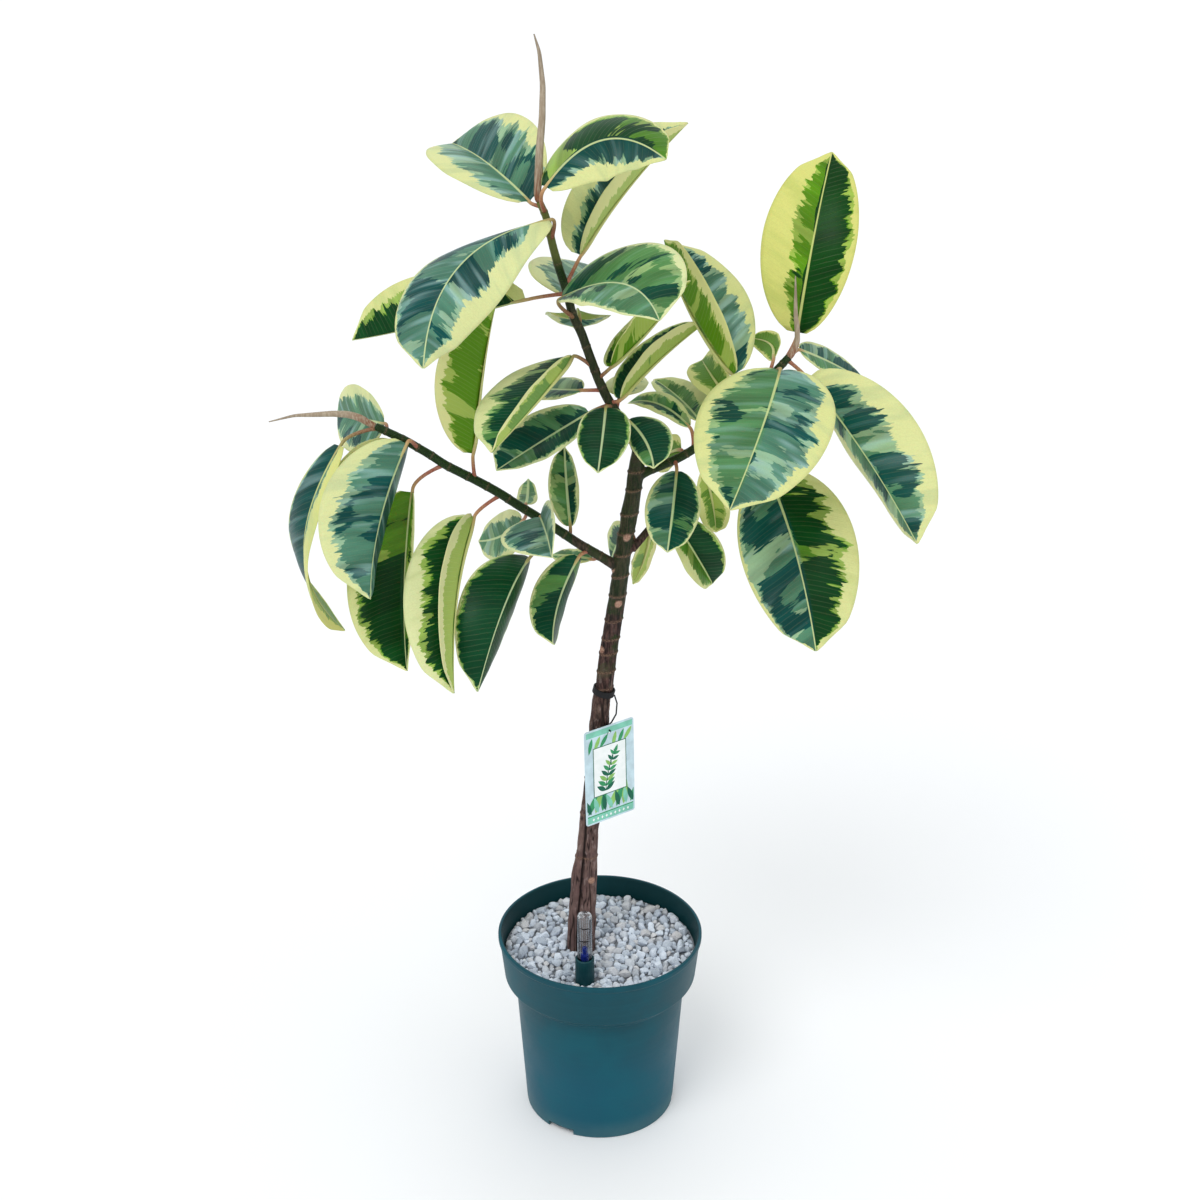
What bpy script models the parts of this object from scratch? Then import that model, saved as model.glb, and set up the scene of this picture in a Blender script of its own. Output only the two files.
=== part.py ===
"""Potted rubber plant: a branched woody stem with variegated leaves in a nursery pot.

World frame: metres, +Z up, the front toward -Y. The origin is the centre of the pot's flat
bottom, on the floor. The driving sizes below are in millimetres and MM turns them into metres.
"""
import math
import random

import bmesh
import bpy
from mathutils import Matrix, Quaternion, Vector, noise
from mathutils.bvhtree import BVHTree

MM = 0.001
CLEAR = 0.3  # gap between neighbouring pieces

# Pot: a turned shell with a rolled lip, a tall rim band and a tapered body.
POT_HEIGHT = 235.0
POT_LIP_RADIUS = 120.0
POT_LIP_ROUND = 1.2
POT_LIP_DEPTH = 6.0
POT_LIP_UNDERCUT = 1.8
POT_BAND_TOP_RADIUS = 118.2
POT_BAND_FOOT_RADIUS = 113.0
POT_BAND_FOOT_Z = 180.0
POT_SHOULDER_RADIUS = 100.0
POT_SHOULDER_Z = 167.0
POT_BOTTOM_RADIUS = 89.0
POT_WALL = 2.6
POT_FLOOR = 3.0
POT_INNER_RISE = 1.5
POT_RIM_FLARE = 0.8
POT_RIM_FLARE_HEIGHT = 2.0
POT_FOOT_CHAMFER = 1.5
POT_FOOT_CHAMFER_HEIGHT = 2.0
POT_STEPS = 40
NOTCH_COUNT = 3
NOTCH_WIDTH = 26.0
NOTCH_HEIGHT = 6.0
NOTCH_DEPTH = 9.0
NOTCH_FIRST_ANGLE = -116.0

# Fill: pumice, its top a seeded relief of rounded bumps.
FILL_TOP_Z = 209.0
FILL_RINGS = 11
FILL_BUMP = 3.2
FILL_BUMP_SPAN = 14.0
FILL_NOISE_LAYER = 7.3
FILL_SIDE_DROP = 1.0
FILL_EDGE_FLAT = 4.0
HOLE_EXTRA = 5.0

# Stem: each run is a list of (x, y, z, radius) on its centre line.
RING_RISE = 0.9
RING_HALF_HEIGHT = 3.0
RING_LEAST_STEP = 1.5
TRUNK = [
    (-24, 0, 150, 13.4), (-22.5, 0, 200, 13.4), (-22, 0, 228, 13.2), (-20, 0, 278, 12.8),
    (-19, 0, 322, 12.4), (-15, 0, 352, 12.2), (-8, 0, 420, 11.6), (-3, 0, 480, 11.0),
    (1, 0, 535, 10.4), (5, 0, 556, 10.0), (8, 0, 590, 9.8), (12, 0, 618, 9.7),
    (17, 0, 650, 9.5), (20, 0, 676, 9.4), (23, 0, 704, 9.3), (28, 0, 741, 9.2),
    (32, 0, 768, 8.9), (36, 0, 790, 8.7), (39, 0, 817, 8.4), (42, 0, 838, 7.6),
]
TRUNK_RING_HEIGHTS = [556, 577, 639, 669, 692, 717, 742, 764, 792, 813]
TRUNK_LOBE = [
    (-30, 5, 150, 8.5), (-29, 5, 228, 8.4), (-26, 5, 278, 8.0), (-23, 4, 322, 7.0),
    (-18, 2, 348, 4.5),
]
LEADER = [
    (42, 0, 826, 5.6), (38, 0, 840, 5.4), (24, 0, 866, 5.2), (12, 0, 886, 5.2),
    (6, 0, 896, 5.1), (-2, 0, 915, 5.0), (-11, 0, 940, 4.9), (-19, 0, 964, 4.8),
    (-28, 0, 982, 4.7), (-34, 0, 1008, 4.6), (-42, 0, 1033, 4.5), (-48, 0, 1056, 4.3),
    (-54, 0, 1085, 4.0), (-61, 0, 1101, 3.7),
]
LEFT_BRANCH = [
    (18, 0, 702, 6.0), (0, -2, 715, 5.4), (-22, -3, 729, 5.2), (-44, -3, 745, 5.1),
    (-68, -4, 762, 5.0), (-88, -4, 775, 5.0), (-106, -4, 788, 5.0), (-126, -4, 800, 4.9),
    (-146, -4, 811, 4.9), (-163, -4, 820, 4.8), (-178, -4, 831, 4.7), (-203, -4, 847, 4.6),
    (-221, -3, 856, 4.5), (-236, -2, 863, 4.3),
]
RIGHT_BRANCH = [
    (40, 0, 806, 5.4), (52, 2, 812, 5.0), (66, 4, 817, 4.9), (84, 5, 825, 4.8),
    (101, 5, 836, 4.7), (124, 5, 860, 4.6), (150, 4, 886, 4.5), (173, 3, 911, 4.4),
    (187, 2, 927, 4.3), (196, 1, 938, 4.1),
]
SIDE_BRANCH = [
    (34, 0, 722, 5.0), (44, 6, 731, 4.4), (53, 13, 740, 4.2), (64, 19, 748, 3.8),
]
STEM_SIDES_RESOLUTION = 3
BRANCH_SIDES_RESOLUTION = 2

# Sheaths: the rolled bud scales at the three shoot tips, (x, y, z, radius) from the second
# bend on. The seat below the first bend follows the shoot's own end.
SHEATH_SEAT_LENGTH = 5.0
SHEATH_SEAT_RADIUS = 3.5
SHEATH_TOP = [
    (-61, 0, 1128, 4.3), (-60, 0, 1152, 4.0), (-57, 0, 1183, 3.5),
    (-56, 0, 1215, 2.9), (-59, 0, 1247, 1.9), (-64, 0, 1264, 0.7),
]
SHEATH_LEFT = [
    (-252, -3, 873, 3.9), (-264, -4, 877, 3.7), (-280, -5, 878, 3.3),
    (-298, -5, 877, 2.6), (-320, -5, 876, 1.6), (-347, -5, 869, 0.6),
]
SHEATH_RIGHT = [
    (204, 1, 954, 2.9), (203, 1, 970, 2.7), (201, 0, 981, 2.3),
    (200, 0, 1002, 1.6), (199, 0, 1024, 0.6),
]

# Leaves. Every row is one leaf: where its stalk leaves the stem, where the blade starts, the
# midrib a little below half way, the tip, then the left and right margins at that station,
# seen from the upper face with the tip up. All are (x, y, z).
LEAVES = {
    "leaf_top_1": [(-60, 0, 1086), (-70, 5, 1098), (-115, 88, 1118), (-160, 185, 1120),
                   (-164, 58, 1120), (-70, 100, 1160)],
    "leaf_top_2": [(-54, 0, 1085), (-55, -25, 1119), (-2, -14, 1163), (64, -45, 1152),
                   (44, 30, 1192), (-16, -38, 1122)],
    "leaf_top_3": [(-34, 0, 1008), (-20, 8, 1042), (20, 58, 1090), (91, 95, 1160),
                   (-45, 60, 1082), (3, 25, 1106)],
    "leaf_top_4": [(-46, 0, 1045), (-49, -12, 1085), (-134, -60, 1055), (-172, -125, 966),
                   (-98, -87, 1024), (-182, -26, 1030)],
    "leaf_top_5": [(-36, 0, 1005), (-73, -5, 1001), (-172, -18, 979), (-256, 4, 955),
                   (-183, 28, 970), (-204, 8, 1018)],
    "leaf_top_6": [(-22, 0, 972), (-40, -24, 1007), (18, -61, 1033), (57, -135, 1017),
                   (45, -15, 1064), (-22, -96, 1022)],
    "leaf_top_7": [(-32, 0, 996), (-29, 18, 994), (-20, 92, 994), (10, 176, 980),
                   (-80, 80, 1014), (36, 94, 988)],
    "leaf_top_8": [(-21, 0, 968), (-21, 15, 974), (-24, 63, 970), (-24, 92, 941),
                   (12, 61, 965), (-58, 60, 968)],
    "leaf_mid_1": [(-4, 0, 920), (-28, -8, 941), (-60, -77, 920), (-106, -150, 888),
                   (-85, -114, 922), (-120, -60, 912)],
    "leaf_mid_2": [(4, 0, 900), (-19, 0, 902), (-48, 35, 891), (-76, 85, 876),
                   (-50, 10, 888), (-41, 63, 897)],
    "leaf_mid_3": [(12, 0, 886), (-10, -15, 883), (-57, -41, 862), (-105, -86, 845),
                   (-47, -69, 856), (-77, -20, 880)],
    "leaf_mid_4": [(14, 0, 883), (6, -16, 888), (3, -65, 876), (-2, -124, 857),
                   (32, -63, 883), (-23, -64, 881)],
    "leaf_mid_5": [(22, 0, 870), (29, -14, 874), (46, -52, 866), (54, -108, 856),
                   (72, -50, 876), (31, -54, 860)],
    "leaf_mid_6": [(10, 0, 890), (21, -6, 893), (57, 41, 917), (113, 78, 952),
                   (43, 66, 932), (42, 19, 934)],
    "leaf_mid_7": [(-1, 0, 912), (11, -5, 928), (48, 25, 956), (94, 40, 1008),
                   (34, 62, 962), (30, -3, 976)],
    "leaf_centre_1": [(98, 5, 834), (95, 15, 856), (66, 47, 869), (31, 96, 855),
                      (72, 16, 866), (56, 75, 881)],
    "leaf_centre_2": [(112, 5, 847), (106, 26, 858), (90, 80, 862), (60, 134, 870),
                      (74, 56, 868), (106, 108, 874)],
    "leaf_centre_3": [(18, 0, 876), (21, 16, 891), (28, 59, 889), (40, 112, 883),
                      (6, 60, 891), (51, 58, 887)],
    "leaf_centre_4": [(90, 5, 829), (86, 17, 830), (75, 40, 817), (61, 70, 794),
                      (73, 62, 828), (77, 18, 808)],
    "leaf_centre_5": [(80, 5, 823), (81, -12, 817), (76, -55, 792), (69, -105, 763),
                      (105, -55, 795), (47, -53, 794)],
    "leaf_centre_6": [(62, 18, 747), (78, 20, 750), (102, 25, 709), (125, 48, 660),
                      (133, 25, 717), (87, 0, 707)],
    "leaf_centre_7": [(106, 5, 841), (112, 18, 808), (122, 38, 764), (129, 68, 714),
                      (106, 30, 759), (140, 30, 765)],
    "leaf_centre_8": [(36, 0, 728), (33, 16, 736), (22, 47, 713), (13, 77, 676),
                      (31, 34, 692), (10, 69, 718)],
    "leaf_centre_9": [(52, 12, 739), (54, 22, 734), (49, 32, 700), (36, 20, 672),
                      (36, 20, 704), (60, 42, 700)],
    "leaf_right_1": [(184, 2, 923), (205, 18, 957), (218, 30, 1048), (242, 103, 1128),
                     (162, 30, 1031), (265, 28, 1063)],
    "leaf_right_2": [(180, 3, 919), (186, -14, 929), (163, -96, 896), (127, -176, 838),
                     (239, -99, 914), (97, -90, 905)],
    "leaf_right_3": [(194, 2, 935), (214, -4, 918), (269, -56, 856), (320, -130, 783),
                     (322, -54, 888), (260, -14, 838)],
    "leaf_right_4": [(192, 2, 933), (208, 16, 941), (244, 60, 914), (292, 105, 876),
                     (255, 90, 915), (232, 35, 913)],
    "leaf_right_5": [(150, 4, 886), (177, 5, 811), (202, -66, 755), (225, -116, 656),
                     (267, -71, 763), (144, -63, 750)],
    "leaf_right_6": [(142, 4, 878), (141, 12, 913), (98, 68, 963), (70, 150, 1023),
                     (121, 39, 988), (162, 80, 973)],
    "leaf_right_7": [(134, 5, 870), (135, 20, 886), (120, 68, 896), (113, 132, 893),
                     (124, 100, 920), (103, 33, 889)],
    "leaf_right_8": [(172, 3, 910), (182, 22, 929), (183, 64, 931), (164, 119, 922),
                     (185, 94, 942), (179, 36, 921)],
    "leaf_left_1": [(-222, -3, 857), (-227, 12, 861), (-260, 58, 851), (-290, 109, 840),
                    (-268, 46, 816), (-264, 68, 886)],
    "leaf_left_2": [(-230, -3, 860), (-271, -10, 847), (-310, -57, 751), (-275, -40, 644),
                    (-300, -90, 752), (-332, -23, 725)],
    "leaf_left_3": [(-184, -4, 835), (-201, -17, 851), (-226, -70, 790), (-232, -152, 732),
                    (-222, -25, 777), (-292, -98, 790)],
    "leaf_left_4": [(-164, -4, 821), (-199, -8, 794), (-207, -47, 707), (-199, -138, 644),
                    (-196, -60, 728), (-268, -56, 705)],
    "leaf_left_5": [(-104, -4, 787), (-134, -10, 764), (-149, -88, 713), (-150, -158, 628),
                    (-166, -130, 721), (-204, -108, 714)],
    "leaf_left_6": [(-46, -3, 747), (-75, -10, 717), (-99, -81, 695), (-128, -125, 613),
                    (-93, -50, 668), (-150, -86, 695)],
    "leaf_left_7": [(-130, -4, 802), (-134, -6, 832), (-123, -27, 917), (-104, -62, 1011),
                    (-159, -2, 892), (-167, -32, 940)],
    "leaf_left_8": [(-62, -4, 758), (-63, -16, 766), (-55, -59, 763), (-49, -105, 757),
                    (-52, -45, 800), (-104, -63, 761)],
    "leaf_left_9": [(-78, -4, 768), (-84, 14, 749), (-107, 41, 721), (-136, 80, 698),
                    (-104, 26, 698), (-107, 60, 742)],
    "leaf_left_10": [(-84, -4, 772), (-80, 14, 769), (-79, 40, 768), (-79, 71, 776),
                     (-91, 38, 765), (-68, 39, 765)],
    "leaf_left_11": [(-30, -3, 735), (-32, 8, 745), (-36, 37, 776), (-39, 73, 813),
                     (-56, 36, 774), (-22, 34, 768)],
    "leaf_left_12": [(-6, -2, 719), (-22, -12, 719), (-43, -29, 677), (-50, -80, 647),
                     (-35, -4, 664), (-77, -33, 673)],
    "leaf_left_13": [(0, -2, 715), (-9, 12, 705), (-31, 33, 700), (-54, 61, 689),
                     (-26, 18, 697), (-29, 48, 703)],
    "leaf_left_14": [(-210, -4, 850), (-220, 4, 844), (-250, 4, 824), (-284, 4, 792),
                     (-262, 2, 836), (-240, 6, 814)],
    "leaf_back_1": [(128, 5, 864), (136, 22, 868), (162, 84, 846), (190, 146, 800),
                    (124, 96, 842), (200, 74, 832)],
}
# Turn of the blade about its midrib from base to tip, in degrees, where a leaf has one.
TWISTS = {"leaf_top_4": -60.0, "leaf_left_2": 45.0}
STALK_RADIUS = 2.3
BLADE_THICKNESS = 1.0
KEEL_DEPTH = 1.5
KEEL_TAPER = 0.7
BLADE_CROWN = 0.06
LEAST_HALF_WIDTH = 1.2
LEAST_RIDGE_COSINE = 0.5
# Blade outline: an oval with its widest place shifted, and a drip tip that narrows it.
OVAL_SHIFT = 0.95
OVAL_POWER = 0.5
TIP_START = 0.88
TIP_NARROWING = 0.5
MID_STATION = 0.46
STATIONS = [0.03, 0.12, 0.27, MID_STATION, 0.64, 0.8, 0.92, 1.0]
STALK_STATIONS = [0.0, 0.45, 0.85]
STALK_BEND = 0.3
SEAT_STEP = 0.1
STALK_LEAST_LENGTH = 4.0
SEAT_START = 0.5
SEAT_TESTS = (0.0, 0.15, 0.3, 0.6, 1.0)
SECTION_POINTS = 10
LEAF_GREEN = (0.10, 0.25, 0.09)
LEAF_SHADES = (0.75, 1.25)
LEAF_SEED = 11
HALF_STEPS = (-1.0, -0.5, 0.0, 0.5, 1.0)

# Level gauge: a socket in the fill, a clear tube standing in it and a sliding float.
GAUGE_X = -17.5
GAUGE_Y = -68.0
SOCKET_RADIUS = 11.0
SOCKET_BORE_RADIUS = 9.0
SOCKET_FOOT_Z = 150.0
SOCKET_STEP_Z = 230.0
SOCKET_TOP_Z = 242.0
SOCKET_DRAIN_RADIUS = 3.0
SOCKET_CHAMFER = 0.8
TUBE_RADIUS = 8.5
TUBE_WALL = 1.2
TUBE_TOP_Z = 303.0
# The tube's closed end, outside and inside: share of the radius and drop below the top.
TUBE_DOME = [(0.0, 0.0), (0.6, 0.8), (0.92, 3.2), (1.0, 6.0)]
TUBE_DOME_INSIDE = [(1.0, 6.4), (0.8, 3.4), (0.0, 2.0)]
FLOAT_RADIUS = 4.6
FLOAT_HEIGHT = 26.0
FLOAT_NECK_RADIUS = 3.0
FLOAT_NECK_LENGTH = 8.0
FLOAT_NECK_CHAMFER = (0.6, 0.8)
FLOAT_TAPER = 2.0
GAUGE_STEPS = 20

# Hanging tag and the tie that holds it to the trunk.
TAG_WIDTH = 68.0
TAG_HEIGHT = 118.0
TAG_THICKNESS = 0.9
TAG_CORNER = 3.0
TAG_CORNER_STEPS = 3
TAG_CENTRE = (11.0, -17.5, 457.0)
TAG_YAW = 36.0
TAG_LEAN = -2.0
TAG_HOLE_RADIUS = 3.0
TAG_HOLE_DROP = 8.0
TAG_HOLE_STEPS = 16
TAG_HOLE_CUT = 10.0
TIE_CENTRE = (4.2, 0.0, 551.0)
TIE_RADIUS = 11.2
TIE_THICKNESS = 1.4
TIE_HEIGHT = 7.0
TIE_TILT = 14.0
TIE_STEPS = 24
TIE_STRAND_RADIUS = 0.9
TIE_STRAND_RESOLUTION = 1
TIE_STRAND = [
    (16, -3, 547), (19, -6, 538), (18, -9, 526), (13, -9, 516), (8.5, -10.4, 511.2),
    (7.2, -12.3, 509.6), (9.95, -16.06, 509.6), (11.85, -18.65, 509.6),
]

parts = None
cutters = None


def clear_scene():
    for old in list(bpy.data.objects):
        bpy.data.objects.remove(old, do_unlink=True)


def make_collection(name):
    made = bpy.data.collections.new(name)
    bpy.context.scene.collection.children.link(made)
    return made


def material(name, colour, roughness, transmission=0.0):
    mat = bpy.data.materials.new(name)
    mat.use_nodes = True
    shader = mat.node_tree.nodes["Principled BSDF"]
    shader.inputs["Base Color"].default_value = (*colour, 1.0)
    shader.inputs["Roughness"].default_value = roughness
    shader.inputs["Transmission Weight"].default_value = transmission
    return mat


def metres(point):
    return Vector(point[:3]) * MM


def add_mesh(name, bm, mat=None):
    """Turns a bmesh into a named object of the part, smooth-shaded, with its material."""
    mesh = bpy.data.meshes.new(name)
    bm.to_mesh(mesh)
    bm.free()
    made = bpy.data.objects.new(name, mesh)
    parts.objects.link(made)
    if mat:
        mesh.materials.append(mat)
    mesh.shade_smooth()
    mesh.set_sharp_from_angle(angle=math.radians(35.0))
    return made


def screw_object(name, profile, steps, mat, location=(0.0, 0.0, 0.0)):
    """A turned shape: a profile of (radius, z) under a Screw modifier, closed off the axis."""
    bm = bmesh.new()
    ring = [bm.verts.new((radius * MM, 0.0, z * MM)) for radius, z in profile]
    for first, second in zip(ring, ring[1:]):
        if max(first.co.x, second.co.x) > 0.0:
            bm.edges.new((first, second))
    if profile[0][0] > 0.0:
        bm.edges.new((ring[-1], ring[0]))
    made = add_mesh(name, bm, mat)
    made.location = metres(location)
    screw = made.modifiers.new("turn", "SCREW")
    screw.steps = steps
    screw.render_steps = steps
    screw.use_merge_vertices = True
    screw.merge_threshold = 0.00001
    return made


def freeze(made):
    """Replaces an object's mesh by its evaluated one and drops the modifiers."""
    bpy.context.view_layer.update()
    evaluated = made.evaluated_get(bpy.context.evaluated_depsgraph_get())
    mesh = bpy.data.meshes.new_from_object(evaluated)
    made.modifiers.clear()
    made.data = mesh
    return made


def tube_object(name, run, resolution, mat, grow=0.0):
    """A tapered round tube along (x, y, z, radius) points, as a closed mesh."""
    curve = bpy.data.curves.new(name, "CURVE")
    curve.dimensions = "3D"
    curve.bevel_depth = MM
    curve.bevel_resolution = resolution
    curve.use_fill_caps = True
    spline = curve.splines.new("POLY")
    spline.points.add(len(run) - 1)
    for point, (x, y, z, radius) in zip(spline.points, run):
        point.co = (x * MM, y * MM, z * MM, 1.0)
        point.radius = radius + grow
    source = bpy.data.objects.new(name + "_curve", curve)
    parts.objects.link(source)
    bpy.context.view_layer.update()
    evaluated = source.evaluated_get(bpy.context.evaluated_depsgraph_get())
    bm = bmesh.new()
    bm.from_mesh(bpy.data.meshes.new_from_object(evaluated))
    bmesh.ops.remove_doubles(bm, verts=bm.verts, dist=0.00001)
    bmesh.ops.recalc_face_normals(bm, faces=bm.faces)
    bpy.data.objects.remove(source, do_unlink=True)
    return add_mesh(name, bm, mat)


def boolean(target, tool, operation):
    modifier = target.modifiers.new(tool.name, "BOOLEAN")
    modifier.operation = operation
    modifier.object = tool


def to_cutter(made):
    parts.objects.unlink(made)
    cutters.objects.link(made)
    made.hide_render = True
    made.display_type = "WIRE"
    return made


def build_pot():
    """The shell's profile runs down its outer side, across the bottom and up the inner side."""
    lip_foot = POT_HEIGHT - POT_LIP_DEPTH
    lip = [(POT_LIP_RADIUS - POT_LIP_ROUND, POT_HEIGHT),
           (POT_LIP_RADIUS, POT_HEIGHT - POT_LIP_ROUND), (POT_LIP_RADIUS, lip_foot),
           (POT_BAND_TOP_RADIUS, lip_foot - POT_LIP_UNDERCUT)]
    outer = [(POT_BAND_FOOT_RADIUS, POT_BAND_FOOT_Z), (POT_SHOULDER_RADIUS, POT_SHOULDER_Z),
             (POT_BOTTOM_RADIUS, POT_FOOT_CHAMFER_HEIGHT),
             (POT_BOTTOM_RADIUS - POT_FOOT_CHAMFER, 0.0), (0.0, 0.0)]
    inner = [(0.0, POT_FLOOR), (POT_BOTTOM_RADIUS - POT_WALL, POT_FLOOR),
             (POT_SHOULDER_RADIUS - POT_WALL, POT_SHOULDER_Z + POT_INNER_RISE),
             (POT_BAND_FOOT_RADIUS - POT_WALL, POT_BAND_FOOT_Z + POT_INNER_RISE),
             (POT_BAND_TOP_RADIUS - POT_WALL, POT_HEIGHT - POT_RIM_FLARE_HEIGHT),
             (POT_BAND_TOP_RADIUS - POT_WALL + POT_RIM_FLARE, POT_HEIGHT)]
    green = material("pot_green_plastic", (0.013, 0.12, 0.115), 0.5)
    pot = screw_object("pot", lip + outer + inner, POT_STEPS, green)
    freeze(pot)
    for index in range(NOTCH_COUNT):
        boolean(pot, notch_cutter(index), "DIFFERENCE")
    return pot


def notch_cutter(index):
    angle = math.radians(NOTCH_FIRST_ANGLE + index * 360.0 / NOTCH_COUNT)
    bm = bmesh.new()
    bmesh.ops.create_cube(bm, size=1.0)
    bmesh.ops.scale(bm, vec=Vector((2 * NOTCH_DEPTH, NOTCH_WIDTH, 2 * NOTCH_HEIGHT)) * MM,
                    verts=bm.verts)
    cutter = to_cutter(add_mesh(f"notch_cutter_{index}", bm))
    cutter.location = Vector((math.cos(angle), math.sin(angle), 0.0)) * POT_BOTTOM_RADIUS * MM
    cutter.rotation_euler = (0.0, 0.0, angle)
    return cutter


def pot_inner_radius(z):
    """The pot's inner radius at a height, in mm, less the gap the fill keeps."""
    floor_radius = POT_BOTTOM_RADIUS - POT_WALL
    shoulder_radius = POT_SHOULDER_RADIUS - POT_WALL
    return floor_radius + (shoulder_radius - floor_radius) * z / POT_SHOULDER_Z - 2 * CLEAR


def fill_profile():
    """The plug's profile, one gap inside the pot all the way down."""
    band_low = POT_BAND_FOOT_RADIUS - POT_WALL - 2 * CLEAR
    band_slope = (POT_BAND_TOP_RADIUS - POT_BAND_FOOT_RADIUS) / (POT_HEIGHT - POT_BAND_FOOT_Z)
    edge = band_low + (FILL_TOP_Z - POT_BAND_FOOT_Z) * band_slope
    rings = [(edge * step / FILL_RINGS, FILL_TOP_Z) for step in range(FILL_RINGS + 1)]
    rise = POT_INNER_RISE + FILL_SIDE_DROP
    side = [(band_low, POT_BAND_FOOT_Z + rise),
            (pot_inner_radius(POT_SHOULDER_Z), POT_SHOULDER_Z + rise),
            (pot_inner_radius(POT_FLOOR), POT_FLOOR + CLEAR), (0.0, POT_FLOOR + CLEAR)]
    return rings + side


def build_fill():
    """A turned plug whose top vertices are raised and sunk by a fixed noise."""
    grey = material("pumice_grey", (0.55, 0.55, 0.52), 0.9)
    fill = freeze(screw_object("pumice_fill", fill_profile(), POT_STEPS, grey))
    edge = fill_profile()[FILL_RINGS][0]
    for vert in fill.data.vertices:
        place = vert.co / MM
        if place.z < FILL_TOP_Z - 0.1:
            continue
        flat = min(1.0, max(0.0, (edge - place.xy.length) / FILL_EDGE_FLAT))
        wave = noise.noise(Vector((place.x, place.y, FILL_NOISE_LAYER)) / FILL_BUMP_SPAN)
        vert.co.z += FILL_BUMP * flat * wave * MM
    for name, run in (("trunk_hole", TRUNK[:4]), ("lobe_hole", TRUNK_LOBE[:3])):
        reach = [(x, y, z if index else z - HOLE_EXTRA, radius)
                 for index, (x, y, z, radius) in enumerate(run)]
        hole = tube_object(name, reach, STEM_SIDES_RESOLUTION, None, grow=2 * CLEAR)
        boolean(fill, to_cutter(hole), "DIFFERENCE")
    socket_hole = cylinder("socket_hole", SOCKET_RADIUS + CLEAR, SOCKET_FOOT_Z - CLEAR,
                           FILL_TOP_Z + HOLE_EXTRA, None)
    boolean(fill, to_cutter(socket_hole), "DIFFERENCE")
    return fill


def cylinder(name, radius, low, high, mat):
    """An upright cylinder on the gauge's axis."""
    bm = bmesh.new()
    bmesh.ops.create_cone(bm, cap_ends=True, segments=GAUGE_STEPS, radius1=radius * MM,
                          radius2=radius * MM, depth=(high - low) * MM)
    made = add_mesh(name, bm, mat)
    made.location = metres((GAUGE_X, GAUGE_Y, (low + high) / 2.0))
    return made


def with_rings(run, heights):
    """Adds a low swollen ring to a run at each of the given heights."""
    points = list(run)
    for height in heights:
        for offset, rise in ((-RING_HALF_HEIGHT, 0.0), (0.0, RING_RISE), (RING_HALF_HEIGHT, 0.0)):
            points.append(point_at_height(run, height + offset, rise))
    points.sort(key=lambda point: point[2])
    spaced = [points[0]]
    for point in points[1:]:
        if point[2] - spaced[-1][2] > RING_LEAST_STEP:
            spaced.append(point)
    return spaced


def point_at_height(run, height, rise):
    for low, high in zip(run, run[1:]):
        if low[2] <= height <= high[2]:
            share = (height - low[2]) / (high[2] - low[2])
            x, y, z, radius = (a + (b - a) * share for a, b in zip(low, high))
            return (x, y, z, radius + rise)
    return run[-1]


def build_stem():
    """Trunk, its swollen lobe and the four branches, joined into one woody piece."""
    bark = material("bark", (0.12, 0.085, 0.055), 0.85)
    trunk = tube_object("woody_stem", with_rings(TRUNK, TRUNK_RING_HEIGHTS),
                        STEM_SIDES_RESOLUTION, bark)
    limbs = (("trunk_lobe", TRUNK_LOBE), ("leader", LEADER), ("left_branch", LEFT_BRANCH),
             ("right_branch", RIGHT_BRANCH), ("side_branch", SIDE_BRANCH))
    for name, run in limbs:
        boolean(trunk, to_cutter(tube_object(name, run, BRANCH_SIDES_RESOLUTION, None)), "UNION")
    return freeze(trunk)


def nearest_on_stem(point):
    """The closest centre-line point of any run, with its radius, in mm."""
    best = None
    for run in (TRUNK, LEADER, LEFT_BRANCH, RIGHT_BRANCH, SIDE_BRANCH):
        for low, high in zip(run, run[1:]):
            start, end = Vector(low[:3]), Vector(high[:3])
            axis = end - start
            share = min(1.0, max(0.0, (point - start).dot(axis) / axis.length_squared))
            spot = start + axis * share
            distance = (point - spot).length
            if best is None or distance < best[0]:
                best = (distance, spot, low[3])
    return best[1:]


def midrib(base, middle, tip, share):
    """Point and direction on the parabola through the three midrib points."""
    s = MID_STATION
    weights = ((share - s) * (share - 1.0) / s, share * (share - 1.0) / (s * (s - 1.0)),
               share * (share - s) / (1.0 - s))
    slopes = ((2 * share - s - 1.0) / s, (2 * share - 1.0) / (s * (s - 1.0)),
              (2 * share - s) / (1.0 - s))
    place = base * weights[0] + middle * weights[1] + tip * weights[2]
    along = base * slopes[0] + middle * slopes[1] + tip * slopes[2]
    return place, along.normalized()


def outline_share(share):
    """A blade's half width at a station, as a share of its widest: oval with a drip tip."""
    oval = math.sin(math.pi * min(share, 0.999) ** OVAL_SHIFT) ** OVAL_POWER
    tip = min(1.0, max(0.0, (share - TIP_START) / (1.0 - TIP_START)))
    return oval * (1.0 - TIP_NARROWING * tip * tip * (3.0 - 2.0 * tip))


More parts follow.
